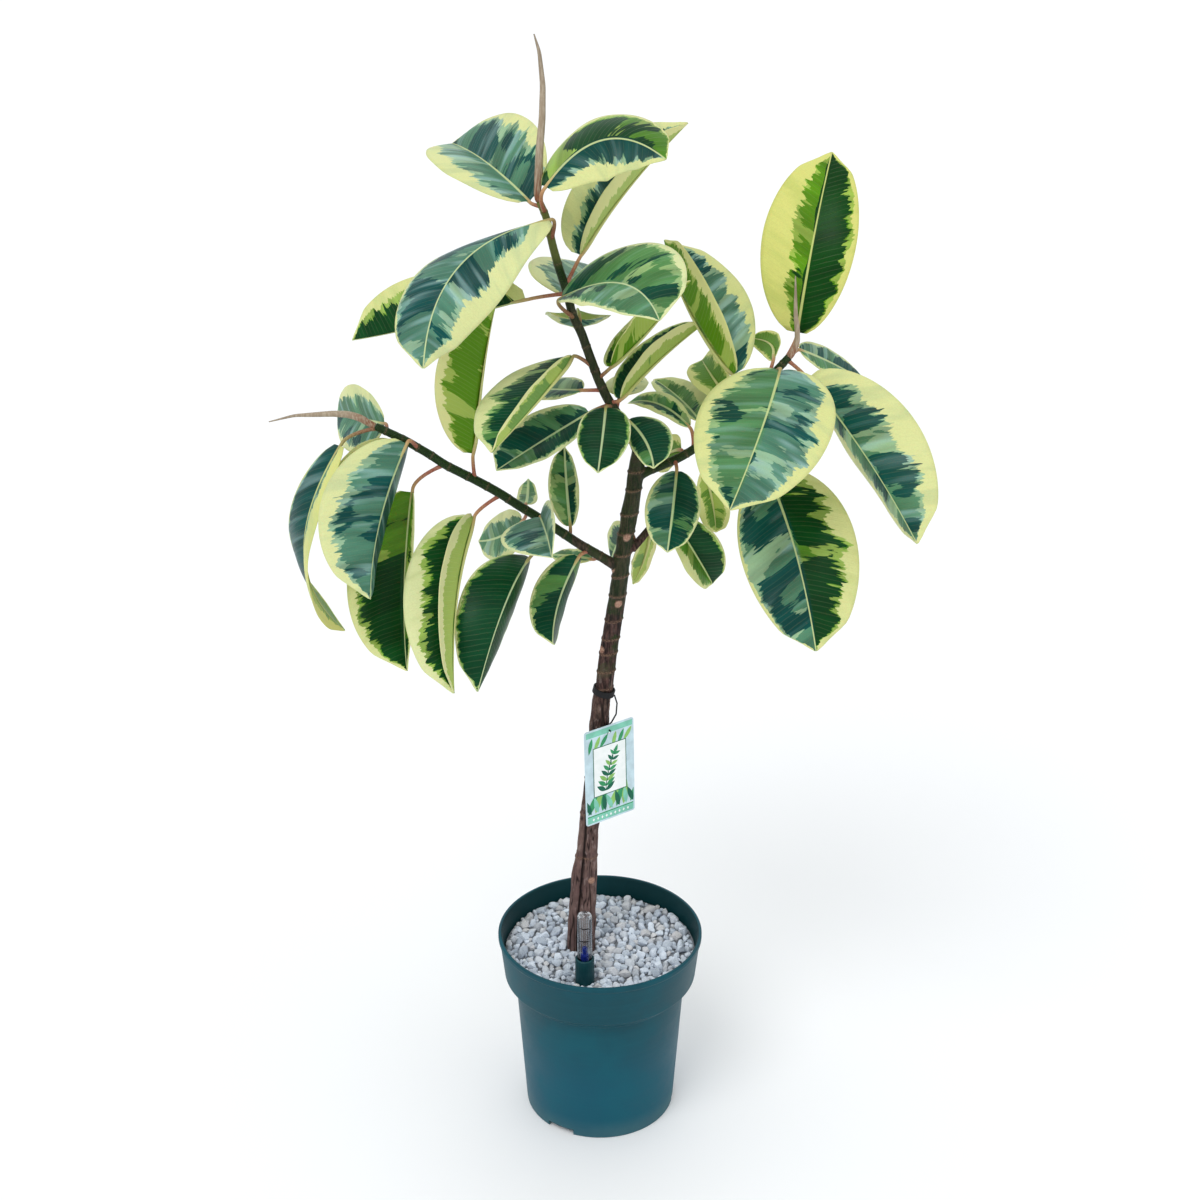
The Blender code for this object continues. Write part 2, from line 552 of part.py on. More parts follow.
def blade_ring(row, twist, share):
    """Ten section points of the blade: five on the upper face, then five back on the under."""
    base, middle, tip, left, right = row[1:]
    mid_along = midrib(base, middle, tip, MID_STATION)[1]
    place, along = midrib(base, middle, tip, share)
    spin = Quaternion(along, math.radians(twist) * (share - MID_STATION))
    turn = spin @ mid_along.rotation_difference(along)
    arms = []
    for margin in (left, right):
        arm = margin - middle
        arm -= mid_along * arm.dot(mid_along)
        arms.append(turn @ arm)
    ups = [along.cross(arms[0]).normalized(), arms[1].cross(along).normalized()]
    ridge = (ups[0] + ups[1]).normalized()
    ridge /= max(ridge.dot(ups[0]), LEAST_RIDGE_COSINE)
    width = outline_share(share)
    upper, under = [], []
    for step in HALF_STEPS:
        arm = arms[0] if step < 0 else arms[1]
        up = ridge if step == 0.0 else ups[step > 0]
        reach = max(abs(step) * arm.length * width, LEAST_HALF_WIDTH * abs(step))
        crown = BLADE_CROWN * arm.length * width * (1.0 - abs(2 * abs(step) - 1.0))
        spot = place + arm.normalized() * reach + up * crown
        keel = KEEL_DEPTH * (1.0 - KEEL_TAPER * share) if step == 0.0 else 0.0
        upper.append(spot + up * BLADE_THICKNESS / 2.0)
        under.append(spot - up * (BLADE_THICKNESS / 2.0 + keel))
    return upper + under[::-1]


def seated_stalk(tree, attach, base, first_ring, blade_along):
    """The stalk's rings, begun as near the stem's axis as keeps them all clear of the bark."""
    spot, radius = nearest_on_stem(attach)
    way = (base - spot).normalized()
    start = spot + way * radius * SEAT_START
    rings = stalk_rings(start, base, first_ring, blade_along)
    while not clears(tree, rings) and (base - start).length > STALK_LEAST_LENGTH:
        start = start + way * SEAT_STEP
        rings = stalk_rings(start, base, first_ring, blade_along)
    return rings


def clears(tree, rings):
    """Whether the sides between the first two rings, in mm, keep their gap from the tree."""
    for low, high in zip(rings[0], rings[1]):
        for share in SEAT_TESTS:
            point = (low + (high - low) * share) * MM
            spot, normal, _, gap = tree.find_nearest(point)
            if gap < CLEAR * MM or (point - spot).dot(normal) < 0.0:
                return False
    return True


def stalk_rings(start, base, first_ring, blade_along):
    """Round sections from the stem to the blade, numbered to match the blade's section."""
    bend = base - blade_along * (base - start).length * STALK_BEND
    across = (first_ring[4] - first_ring[0]).normalized()
    rings = []
    for share in STALK_STATIONS:
        place = (start * (1 - share) ** 2 + bend * 2 * share * (1 - share)
                 + base * share ** 2)
        along = ((bend - start) * (1 - share) + (base - bend) * share).normalized()
        side = (across - along * across.dot(along)).normalized()
        up = side.cross(along)
        ring = []
        for corner in range(SECTION_POINTS):
            angle = math.pi - (corner + 0.5) * 2.0 * math.pi / SECTION_POINTS
            offset = side * math.cos(angle) + up * math.sin(angle)
            ring.append(place + offset * STALK_RADIUS)
        rings.append(ring)
    return rings


def loft(bm, rings):
    """Skins ten-point rings and caps both ends, with the two faces split alike."""
    rows = [[bm.verts.new(point * MM) for point in ring] for ring in rings]
    for low, high in zip(rows, rows[1:]):
        for k in range(SECTION_POINTS):
            n = (k + 1) % SECTION_POINTS
            if k < 4 or k == 9:
                faces = ((low[k], low[n], high[n]), (low[k], high[n], high[k]))
            else:
                faces = ((low[k], low[n], high[k]), (low[n], high[n], high[k]))
            for face in faces:
                bm.faces.new(face)
    for ring, order in ((rows[0], -1), (rows[-1], 1)):
        for k in range(4):
            corners = (ring[k], ring[k + 1], ring[8 - k], ring[9 - k])
            halves = ((corners[0], corners[1], corners[2]), (corners[0], corners[2], corners[3]))
            for half in halves:
                bm.faces.new(half[::order])


def build_leaf(name, row, tree, mat):
    points = [Vector(point) for point in row]
    attach, base, middle, tip = points[:4]
    blade = [blade_ring(points, TWISTS.get(name, 0.0), share) for share in STATIONS]
    blade_along = midrib(base, middle, tip, STATIONS[0])[1]
    bm = bmesh.new()
    loft(bm, seated_stalk(tree, attach, base, blade[0], blade_along) + blade)
    return add_mesh(name, bm, mat)


def build_leaves(stem):
    tree = BVHTree.FromPolygons([vert.co for vert in stem.data.vertices],
                                [face.vertices for face in stem.data.polygons])
    shades = random.Random(LEAF_SEED)
    for name, row in LEAVES.items():
        shade = shades.uniform(*LEAF_SHADES)
        colour = tuple(value * shade for value in LEAF_GREEN)
        build_leaf(name, row, tree, material(name + "_green", colour, 0.4))


def build_sheaths():
    pink = material("sheath_pink", (0.45, 0.28, 0.22), 0.6)
    for name, run, shoot in (("sheath_top", SHEATH_TOP, LEADER),
                             ("sheath_left", SHEATH_LEFT, LEFT_BRANCH),
                             ("sheath_right", SHEATH_RIGHT, RIGHT_BRANCH)):
        end = Vector(shoot[-1][:3])
        way = (end - Vector(shoot[-2][:3])).normalized()
        seat = [(*(end + way * reach), SHEATH_SEAT_RADIUS)
                for reach in (CLEAR, SHEATH_SEAT_LENGTH)]
        tube_object(name, seat + run, BRANCH_SIDES_RESOLUTION, pink.copy())


def build_gauge():
    """Socket, clear tube and float share one upright axis."""
    place = (GAUGE_X, GAUGE_Y, 0.0)
    socket = [(SOCKET_RADIUS - SOCKET_CHAMFER, SOCKET_TOP_Z),
              (SOCKET_RADIUS, SOCKET_TOP_Z - SOCKET_CHAMFER),
              (SOCKET_RADIUS, SOCKET_FOOT_Z), (SOCKET_DRAIN_RADIUS, SOCKET_FOOT_Z),
              (SOCKET_DRAIN_RADIUS, SOCKET_STEP_Z), (SOCKET_BORE_RADIUS, SOCKET_STEP_Z),
              (SOCKET_BORE_RADIUS, SOCKET_TOP_Z)]
    screw_object("gauge_socket", socket, GAUGE_STEPS,
                 material("socket_green", (0.03, 0.2, 0.07), 0.5), place)
    inner = TUBE_RADIUS - TUBE_WALL
    foot = SOCKET_STEP_Z + CLEAR
    tube = [(TUBE_RADIUS * share, TUBE_TOP_Z - drop) for share, drop in TUBE_DOME]
    tube += [(TUBE_RADIUS, foot), (inner, foot)]
    tube += [(inner * share, TUBE_TOP_Z - drop) for share, drop in TUBE_DOME_INSIDE]
    screw_object("gauge_tube", tube, GAUGE_STEPS,
                 material("clear_plastic", (0.9, 0.93, 0.95), 0.08, 1.0), place)
    top = foot + FLOAT_HEIGHT
    neck_foot = top - FLOAT_NECK_LENGTH
    shape = [(0.0, top), (FLOAT_NECK_RADIUS - FLOAT_NECK_CHAMFER[0], top),
             (FLOAT_NECK_RADIUS, top - FLOAT_NECK_CHAMFER[1]), (FLOAT_NECK_RADIUS, neck_foot),
             (FLOAT_RADIUS, neck_foot - FLOAT_TAPER), (FLOAT_RADIUS, foot), (0.0, foot)]
    screw_object("gauge_float", shape, GAUGE_STEPS,
                 material("float_blue", (0.02, 0.03, 0.2), 0.4), place)


def build_tag():
    """A thin upright card with rounded corners and a hole for the tie."""
    bm = bmesh.new()
    bmesh.ops.create_cube(bm, size=1.0)
    bmesh.ops.scale(bm, vec=Vector((TAG_WIDTH, TAG_THICKNESS, TAG_HEIGHT)) * MM, verts=bm.verts)
    corners = [edge for edge in bm.edges
               if abs(edge.verts[0].co.y - edge.verts[1].co.y) > TAG_THICKNESS * MM / 2.0]
    bmesh.ops.bevel(bm, geom=corners, offset=TAG_CORNER * MM, segments=TAG_CORNER_STEPS,
                    profile=0.5, affect="EDGES")
    card = material("card_pale_blue", (0.55, 0.68, 0.72), 0.5)
    tag = add_mesh("hang_tag", bm, card)
    pose = (Matrix.Translation(metres(TAG_CENTRE))
            @ Matrix.Rotation(math.radians(TAG_YAW), 4, "Z")
            @ Matrix.Rotation(math.radians(TAG_LEAN), 4, "X"))
    tag.matrix_world = pose
    bm = bmesh.new()
    bmesh.ops.create_cone(bm, cap_ends=True, segments=TAG_HOLE_STEPS,
                          radius1=TAG_HOLE_RADIUS * MM, radius2=TAG_HOLE_RADIUS * MM,
                          depth=TAG_HOLE_CUT * MM)
    hole = to_cutter(add_mesh("tag_hole", bm))
    rise = TAG_HEIGHT / 2.0 - TAG_HOLE_DROP
    hole.matrix_world = (pose @ Matrix.Translation((0.0, 0.0, rise * MM))
                         @ Matrix.Rotation(math.radians(90.0), 4, "X"))
    boolean(tag, hole, "DIFFERENCE")


def build_tie():
    """A flat black band round the trunk with one strand down to the card's hole."""
    black = material("tie_black", (0.01, 0.01, 0.01), 0.6)
    half = TIE_HEIGHT / 2.0
    outer = TIE_RADIUS + TIE_THICKNESS
    band = [(outer, half), (outer, -half), (TIE_RADIUS, -half), (TIE_RADIUS, half)]
    tie = screw_object("tag_tie", band, TIE_STEPS, black, TIE_CENTRE)
    tie.rotation_euler = (0.0, math.radians(TIE_TILT), 0.0)
    run = [(*point, TIE_STRAND_RADIUS) for point in TIE_STRAND]
    boolean(tie, to_cutter(tube_object("tie_strand", run, TIE_STRAND_RESOLUTION, None)), "UNION")


clear_scene()
parts = make_collection("potted_rubber_plant")
cutters = make_collection("cutters")
build_pot()
build_fill()
build_leaves(build_stem())
build_sheaths()
build_gauge()
build_tag()
build_tie()
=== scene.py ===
"""Looks of the potted rubber plant: leaves, bark, stones, pot, gauge, card, light and camera.

The frame is that of the CAD part, in metres. Points and lengths are given in millimetres, as in
the part's source, and MM turns them into metres. Angles are in degrees.
"""
import math
import random

import bmesh
import bpy
import numpy as np
from mathutils import Matrix, Quaternion, Vector, noise
from mathutils.bvhtree import BVHTree


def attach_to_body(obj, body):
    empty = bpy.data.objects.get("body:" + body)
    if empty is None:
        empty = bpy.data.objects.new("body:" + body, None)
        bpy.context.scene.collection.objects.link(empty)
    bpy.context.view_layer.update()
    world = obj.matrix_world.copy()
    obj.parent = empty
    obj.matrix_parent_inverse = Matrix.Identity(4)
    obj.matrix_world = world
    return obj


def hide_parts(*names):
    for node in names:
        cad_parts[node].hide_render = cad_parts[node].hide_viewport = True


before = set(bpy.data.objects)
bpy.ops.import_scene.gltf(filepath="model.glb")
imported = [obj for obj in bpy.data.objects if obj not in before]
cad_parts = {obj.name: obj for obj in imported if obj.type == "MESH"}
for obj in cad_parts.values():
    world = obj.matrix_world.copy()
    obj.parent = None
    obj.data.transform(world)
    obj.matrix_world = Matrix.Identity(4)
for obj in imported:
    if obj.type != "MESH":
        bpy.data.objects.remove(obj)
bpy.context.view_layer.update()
BODY = "planter"
MM = 0.001

# Camera, in metres, and light.
CAMERA_PLACE = (0.0, -2.0, 1.569)
CAMERA_PITCH = 24.4
CAMERA_LENS = 60.3
CAMERA_SENSOR = 36.0
FLOOR_SIZE = 60.0
WORLD_COLOUR = (0.94, 0.97, 1.0, 1.0)
WORLD_STRENGTH = 0.86
SPECULAR_LEVEL = 0.2
LEAF_SPECULAR = 0.13
# Lamps: name, where the light comes from, the lamp's apparent size and its power.
SUNS = [("key", (-0.9, -1.5, 2.4), 30.0, 0.95), ("fill", (1.6, -1.2, 1.2), 50.0, 0.12),
        ("back", (0.3, 1.6, 1.6), 50.0, 0.25)]

# Leaves. The points are those of the part's source: stalk foot, blade base, midrib below half way
# and tip, then the left and right margin there, seen from the upper face with the tip up. Then, in
# percent, the paint of the left half and of the right half: the cream margin's share of the half,
# how much of the rest is dark, and how blue the greens are, which also sets how much painted
# reflection they get. Last, how yellow the cream is.
LEAVES = {
    "top_1": ((-60, 0, 1086), (-70, 5, 1098), (-115, 88, 1118), (-160, 185, 1120),
              (-164, 58, 1120), (-70, 100, 1160), (28, 15, 90), (20, 50, 90), 40),
    "top_2": ((-54, 0, 1085), (-55, -25, 1119), (-2, -14, 1163), (64, -45, 1152),
              (44, 30, 1192), (-16, -38, 1122), (10, 50, 10), (40, 95, 85), 45),
    "top_3": ((-34, 0, 1008), (-20, 8, 1042), (20, 58, 1090), (91, 95, 1160),
              (-45, 60, 1082), (3, 25, 1106), (40, 85, 80), (70, 20, 80), 35),
    "top_4": ((-46, 0, 1045), (-49, -12, 1085), (-134, -60, 1055), (-172, -125, 966),
              (-98, -87, 1024), (-182, -26, 1030), (42, 40, 100), (6, 50, 100), 35),
    "top_5": ((-36, 0, 1005), (-73, -5, 1001), (-172, -18, 979), (-256, 4, 955),
              (-183, 28, 970), (-204, 8, 1018), (20, 75, 10), (30, 65, 10), 50),
    "top_6": ((-22, 0, 972), (-40, -24, 1007), (18, -61, 1033), (57, -135, 1017),
              (45, -15, 1064), (-22, -96, 1022), (12, 45, 50), (10, 35, 70), 20),
    "top_7": ((-32, 0, 996), (-29, 18, 994), (-20, 92, 994), (10, 176, 980),
              (-80, 80, 1014), (36, 94, 988), (30, 20, 90), (20, 30, 90), 20),
    "top_8": ((-21, 0, 968), (-21, 15, 974), (-24, 63, 970), (-24, 92, 941),
              (12, 61, 965), (-58, 60, 968), (20, 30, 90), (30, 20, 90), 20),
    "mid_1": ((-4, 0, 920), (-28, -8, 941), (-60, -77, 920), (-106, -150, 888),
              (-85, -114, 922), (-120, -60, 912), (24, 60, 40), (30, 85, 40), 30),
    "mid_2": ((4, 0, 900), (-19, 0, 902), (-48, 35, 891), (-76, 85, 876),
              (-50, 10, 888), (-41, 63, 897), (20, 40, 80), (20, 40, 80), 20),
    "mid_3": ((12, 0, 886), (-10, -15, 883), (-57, -41, 862), (-105, -86, 845),
              (-47, -69, 856), (-77, -20, 880), (12, 45, 60), (16, 50, 70), 10),
    "mid_4": ((14, 0, 883), (6, -16, 888), (3, -65, 876), (-2, -124, 857),
              (32, -63, 883), (-23, -64, 881), (5, 80, 30), (5, 90, 30), 10),
    "mid_5": ((22, 0, 870), (29, -14, 874), (46, -52, 866), (54, -108, 856),
              (72, -50, 876), (31, -54, 860), (6, 70, 50), (10, 60, 50), 20),
    "mid_6": ((10, 0, 890), (21, -6, 893), (57, 41, 917), (113, 78, 952),
              (43, 66, 932), (42, 19, 934), (8, 95, 40), (50, 20, 30), 30),
    "mid_7": ((-1, 0, 912), (11, -5, 928), (48, 25, 956), (94, 40, 1008),
              (34, 62, 962), (30, -3, 976), (20, 40, 0), (10, 50, 0), 40),
    "centre_1": ((98, 5, 834), (95, 15, 856), (66, 47, 869), (31, 96, 855),
                 (72, 16, 866), (56, 75, 881), (32, 35, 60), (30, 30, 50), 20),
    "centre_2": ((112, 5, 847), (106, 26, 858), (90, 80, 862), (60, 134, 870),
                 (74, 56, 868), (106, 108, 874), (45, 30, 50), (50, 30, 40), 25),
    "centre_3": ((18, 0, 876), (21, 16, 891), (28, 59, 889), (40, 112, 883),
                 (6, 60, 891), (51, 58, 887), (40, 30, 40), (35, 40, 40), 25),
    "centre_4": ((90, 5, 829), (86, 17, 830), (75, 40, 817), (61, 70, 794),
                 (73, 62, 828), (77, 18, 808), (35, 95, 0), (30, 90, 0), 50),
    "centre_5": ((80, 5, 823), (81, -12, 817), (76, -55, 792), (69, -105, 763),
                 (105, -55, 795), (47, -53, 794), (8, 70, 55), (12, 40, 80), 20),
    "centre_6": ((62, 18, 747), (78, 20, 750), (102, 25, 709), (125, 48, 660),
                 (133, 25, 717), (87, 0, 707), (5, 100, 20), (30, 0, 10), 35),
    "centre_7": ((106, 5, 841), (112, 18, 808), (122, 38, 764), (129, 68, 714),
                 (106, 30, 759), (140, 30, 765), (40, 40, 10), (30, 50, 10), 45),
    "centre_8": ((36, 0, 728), (33, 16, 736), (22, 47, 713), (13, 77, 676),
                 (31, 34, 692), (10, 69, 718), (20, 50, 50), (25, 40, 50), 25),
    "centre_9": ((52, 12, 739), (54, 22, 734), (49, 32, 700), (36, 20, 672),
                 (36, 20, 704), (60, 42, 700), (30, 20, 60), (30, 20, 60), 20),
    "right_1": ((184, 2, 923), (205, 18, 957), (218, 30, 1048), (242, 103, 1128),
                (162, 30, 1031), (265, 28, 1063), (60, 35, 0), (14, 85, 0), 85),
    "right_2": ((180, 3, 919), (186, -14, 929), (163, -96, 896), (127, -176, 838),
                (239, -99, 914), (97, -90, 905), (20, 20, 100), (26, 32, 60), 50),
    "right_3": ((194, 2, 935), (214, -4, 918), (269, -56, 856), (320, -130, 783),
                (322, -54, 888), (260, -14, 838), (38, 45, 80), (50, 36, 80), 40),
    "right_4": ((192, 2, 933), (208, 16, 941), (244, 60, 914), (292, 105, 876),
                (255, 90, 915), (232, 35, 913), (15, 50, 80), (20, 40, 60), 30),
    "right_5": ((150, 4, 886), (177, 5, 811), (202, -66, 755), (225, -116, 656),
                (267, -71, 763), (144, -63, 750), (26, 80, 10), (6, 50, 90), 45),
    "right_6": ((142, 4, 878), (141, 12, 913), (98, 68, 963), (70, 150, 1023),
                (121, 39, 988), (162, 80, 973), (30, 60, 0), (22, 30, 95), 45),
    "right_7": ((134, 5, 870), (135, 20, 886), (120, 68, 896), (113, 132, 893),
                (124, 100, 920), (103, 33, 889), (35, 85, 0), (35, 85, 0), 50),
    "right_8": ((172, 3, 910), (182, 22, 929), (183, 64, 931), (164, 119, 922),
                (185, 94, 942), (179, 36, 921), (15, 90, 0), (18, 85, 0), 50),
    "left_1": ((-222, -3, 857), (-227, 12, 861), (-260, 58, 851), (-290, 109, 840),
               (-268, 46, 816), (-264, 68, 886), (20, 50, 90), (28, 25, 80), 25),
    "left_2": ((-230, -3, 860), (-271, -10, 847), (-310, -57, 751), (-275, -40, 644),
               (-300, -90, 752), (-332, -23, 725), (75, 30, 90), (4, 95, 95), 70),
    "left_3": ((-184, -4, 835), (-201, -17, 851), (-226, -70, 790), (-232, -152, 732),
               (-222, -25, 777), (-292, -98, 790), (5, 60, 100), (27, 42, 100), 30),
    "left_4": ((-164, -4, 821), (-199, -8, 794), (-207, -47, 707), (-199, -138, 644),
               (-196, -60, 728), (-268, -56, 705), (20, 50, 10), (14, 90, 10), 35),
    "left_5": ((-104, -4, 787), (-134, -10, 764), (-149, -88, 713), (-150, -158, 628),
               (-166, -130, 721), (-204, -108, 714), (35, 10, 40), (27, 100, 10), 20),
    "left_6": ((-46, -3, 747), (-75, -10, 717), (-99, -81, 695), (-128, -125, 613),
               (-93, -50, 668), (-150, -86, 695), (5, 95, 15), (5, 85, 25), 15),
    "left_7": ((-130, -4, 802), (-134, -6, 832), (-123, -27, 917), (-104, -62, 1011),
               (-159, -2, 892), (-167, -32, 940), (22, 30, 0), (20, 60, 0), 40),
    "left_8": ((-62, -4, 758), (-63, -16, 766), (-55, -59, 763), (-49, -105, 757),
               (-52, -45, 800), (-104, -63, 761), (18, 10, 100), (12, 20, 100), 10),
    "left_9": ((-78, -4, 768), (-84, 14, 749), (-107, 41, 721), (-136, 80, 698),
               (-104, 26, 698), (-107, 60, 742), (30, 10, 80), (35, 10, 80), 15),
    "left_10": ((-84, -4, 772), (-80, 14, 769), (-79, 40, 768), (-79, 71, 776),
                (-91, 38, 765), (-68, 39, 765), (30, 10, 70), (30, 10, 70), 15),
    "left_11": ((-30, -3, 735), (-32, 8, 745), (-36, 37, 776), (-39, 73, 813),
                (-56, 36, 774), (-22, 34, 768), (14, 35, 50), (26, 50, 60), 10),
    "left_12": ((-6, -2, 719), (-22, -12, 719), (-43, -29, 677), (-50, -80, 647),
                (-35, -4, 664), (-77, -33, 673), (6, 85, 30), (10, 80, 40), 20),
    "left_13": ((0, -2, 715), (-9, 12, 705), (-31, 33, 700), (-54, 61, 689),
                (-26, 18, 697), (-29, 48, 703), (35, 10, 60), (35, 10, 60), 20),
    "left_14": ((-210, -4, 850), (-220, 4, 844), (-250, 4, 824), (-284, 4, 792),
                (-262, 2, 836), (-240, 6, 814), (40, 10, 50), (40, 10, 50), 25),
    "back_1": ((128, 5, 864), (136, 22, 868), (162, 84, 846), (190, 146, 800),
               (124, 96, 842), (200, 74, 832), (20, 60, 40), (25, 50, 40), 40),
}
TWISTS = {"top_4": -60.0, "left_2": 45.0}
# The share of the length that is cream at the base, and the fresh green at the base of one leaf.
CREAM_BASES = {"top_4": 0.17, "top_5": 0.1, "right_3": 0.16}
FRESH_BASES = {"left_4": 0.35}

# A blade: places along it are shares of its midrib.
LEAF_SEED = 5
MID_STATION = 0.46
BLADE_START = 0.012
FRESH_END = 0.55
TIP_START = 0.93
TIP_CREAM = 0.5
MOST_CREAM = 1.3
BLADE_THICKNESS = 0.8
EDGE_THINNING = 0.55
BLADE_CROWN = 0.06
WAVE_HEIGHT = 2.2
LEAST_WIDTH = 1.0
BLADE_STEPS = 44
HALF_STEPS = 12
# The side veins lean forward by this much for each mm outwards, and the noise of a blade's right
# half is taken this far from the left half's.
VEIN_LEAN = 0.45
HALF_SHIFT = 17.3

STALK_RADIUS = 2.1
STALK_BEND = 0.3
STALK_SIDES = 14
STALK_STEPS = 12
STALK_JOIN = 0.03
STALK_ROOT = 2.4
RIB_STEPS = 25
RIB_TIP_RADIUS = 0.25
FOOT_POINTS = 10

# Runs of the wood, (x, y, z, radius). They are those of the part's source, apart from the trunk's
# foot, up to 362 mm, where the stems that grew together are drawn more closely.
RUNS = {
    "trunk": [
        (-23, 4, 150, 9.2), (-22, 4, 200, 9.2), (-21, 4, 228, 9.2), (-19, 4, 278, 9.0),
        (-17, 3, 322, 9.6), (-15, 0, 352, 11.8), (-8, 0, 420, 11.6), (-3, 0, 480, 11.0),
        (1, 0, 535, 10.4), (5, 0, 556, 10.0), (8, 0, 590, 9.8), (12, 0, 618, 9.7),
        (17, 0, 650, 9.5), (20, 0, 676, 9.4), (23, 0, 704, 9.3), (28, 0, 741, 9.2),
        (32, 0, 768, 8.9), (36, 0, 790, 8.7), (39, 0, 817, 8.4), (42, 0, 838, 7.6),
    ],
    "lobe": [
        (-30, -1, 150, 9.4), (-29.5, -1, 228, 9.3), (-27, -1, 278, 8.8), (-23.5, -1, 322, 8.2),
        (-18, 0, 356, 7.0),
    ],
    "leader": [
        (42, 0, 826, 5.6), (38, 0, 840, 5.4), (24, 0, 866, 5.2), (12, 0, 886, 5.2),
        (6, 0, 896, 5.1), (-2, 0, 915, 5.0), (-11, 0, 940, 4.9), (-19, 0, 964, 4.8),
        (-28, 0, 982, 4.7), (-34, 0, 1008, 4.6), (-42, 0, 1033, 4.5), (-48, 0, 1056, 4.3),
        (-54, 0, 1085, 4.0), (-61, 0, 1101, 3.7),
    ],
    "left": [
        (18, 0, 702, 6.0), (0, -2, 715, 5.4), (-22, -3, 729, 5.2), (-44, -3, 745, 5.1),
        (-68, -4, 762, 5.0), (-88, -4, 775, 5.0), (-106, -4, 788, 5.0), (-126, -4, 800, 4.9),
        (-146, -4, 811, 4.9), (-163, -4, 820, 4.8), (-178, -4, 831, 4.7), (-203, -4, 847, 4.6),
        (-221, -3, 856, 4.5), (-236, -2, 863, 4.3),
    ],
    "right": [
        (40, 0, 806, 5.4), (52, 2, 812, 5.0), (66, 4, 817, 4.9), (84, 5, 825, 4.8),
        (101, 5, 836, 4.7), (124, 5, 860, 4.6), (150, 4, 886, 4.5), (173, 3, 911, 4.4),
        (187, 2, 927, 4.3), (196, 1, 938, 4.1),
    ],
    "side": [
        (34, 0, 722, 5.0), (44, 6, 731, 4.4), (53, 13, 740, 4.2), (64, 19, 748, 3.8),
    ],
    "foot": [
        (-15.5, -2, 150, 9.8), (-15, -2, 228, 9.6), (-13.5, -2, 278, 9.2), (-12, -2, 322, 9.0),
        (-11, -1, 362, 8.6),
    ],
}
STEM_SIDES = 28
STEM_SPACING = 2.5
STEM_VOXEL = 1.25
# Sheaths: two rings beyond the shoot's end, (distance, radius), then by the shoot that the sheath
# ends, its name and the rest of its run.
SHEATH_SIDES = 18
SHEATH_SEATS = [(0.3, 3.5), (5.0, 3.5)]
SHEATHS = {
    "leader": ("sheath_top", [
        (-61, 0, 1128, 4.3), (-60, 0, 1152, 4.0), (-57, 0, 1183, 3.5),
        (-56, 0, 1215, 2.9), (-59, 0, 1247, 1.9), (-64, 0, 1264, 0.7),
    ]),
    "left": ("sheath_left", [
        (-252, -3, 873, 3.9), (-264, -4, 877, 3.7), (-280, -5, 878, 3.3),
        (-298, -5, 877, 2.6), (-320, -5, 876, 1.6), (-347, -5, 869, 0.6),
    ]),
    "right": ("sheath_right", [
        (204, 1, 954, 2.9), (203, 1, 970, 2.7), (201, 0, 981, 2.3),
        (200, 0, 1002, 1.6), (199, 0, 1024, 0.6),
    ]),
}
# The groove between the two stems of the foot, (height, x), and the top of the two stems.
GROOVE = [(228.0, -27.0), (330.0, -19.5), (440.0, -14.0)]
GROOVE_WIDTH = 1.7
GROOVE_DEPTH = 2.2
GROOVE_FADE = 50.0
FOOT_TOP = 350.0
# A crack is where the noise is nearer to 0 than this width. Below a height, over a length, the
# cracks get twice as deep. Noise scales are across and along the trunk, per mm.
CRACK_WIDTH = 0.14
CRACK_DEPTH = 4.0
CRACK_SCALES = (0.2, 0.016)
DEEP_CRACKS = (400.0, 120.0)
LUMP_HEIGHT = 1.3
LUMP_SCALES = (0.09, 0.05)
# How green the skin is, 0 to 1. The trunk and the leader get greener from a height on, over a
# length, and the left shoot is browner on the trunk's side of an x.
TRUNK_GREEN = (520.0, 200.0, 0.78)
LEADER_GREEN = (990.0, 60.0, 0.8)
LEFT_GREEN = (-30.0, 0.7, 0.92)
RIGHT_GREEN = 0.88
SIDE_GREEN = 0.3
# Node rings: heights on the trunk, and points on the green shoots.
NODE_HEIGHTS = [338, 396, 442, 498, 556, 577, 599, 617, 639, 669, 692, 717, 742, 764, 792, 813]
SHOOT_KNOTS = {
    "leader": [
        (38, 0, 840), (22, 0, 869), (12, 0, 886), (2, 0, 906), (-5, 0, 924), (-14, 0, 950),
        (-22, 0, 972), (-29, 0, 986), (-34, 0, 1008), (-43, 0, 1037), (-50, 0, 1066),
        (-56, 0, 1090),
    ],
    "left": [
        (0, -2, 715), (-15, -3, 724), (-38, -3, 741), (-56, -4, 753), (-80, -4, 769),
        (-98, -4, 782), (-120, -4, 796), (-140, -4, 808), (-160, -4, 818), (-178, -4, 831),
        (-192, -4, 840), (-208, -4, 850), (-225, -3, 858),
    ],
    "right": [
        (56, 3, 813), (74, 4, 821), (92, 5, 830), (108, 5, 843), (128, 5, 864), (148, 4, 884),
        (166, 3, 903), (180, 3, 919), (190, 2, 931),
    ],
}
RING_TILT = 0.12
RING_WIDTH = 1.3
RING_HEIGHT = 0.9
SHOOT_RING_WIDTH = 1.1
SHOOT_RING_SHARE = 0.5
# Leaf scars: height and the angle round the trunk from +X. Their size is half the height and
# half the width, and the arm turns an angle in radians into mm.
SCARS = [(309, -72), (739, -82), (661, -78), (398, -70), (604, -150), (700, -160), (530, 10)]
SCAR_SIZE = (4.2, 4.4)
SCAR_ARM = 10.0
SCAR_HEIGHT = 0.5

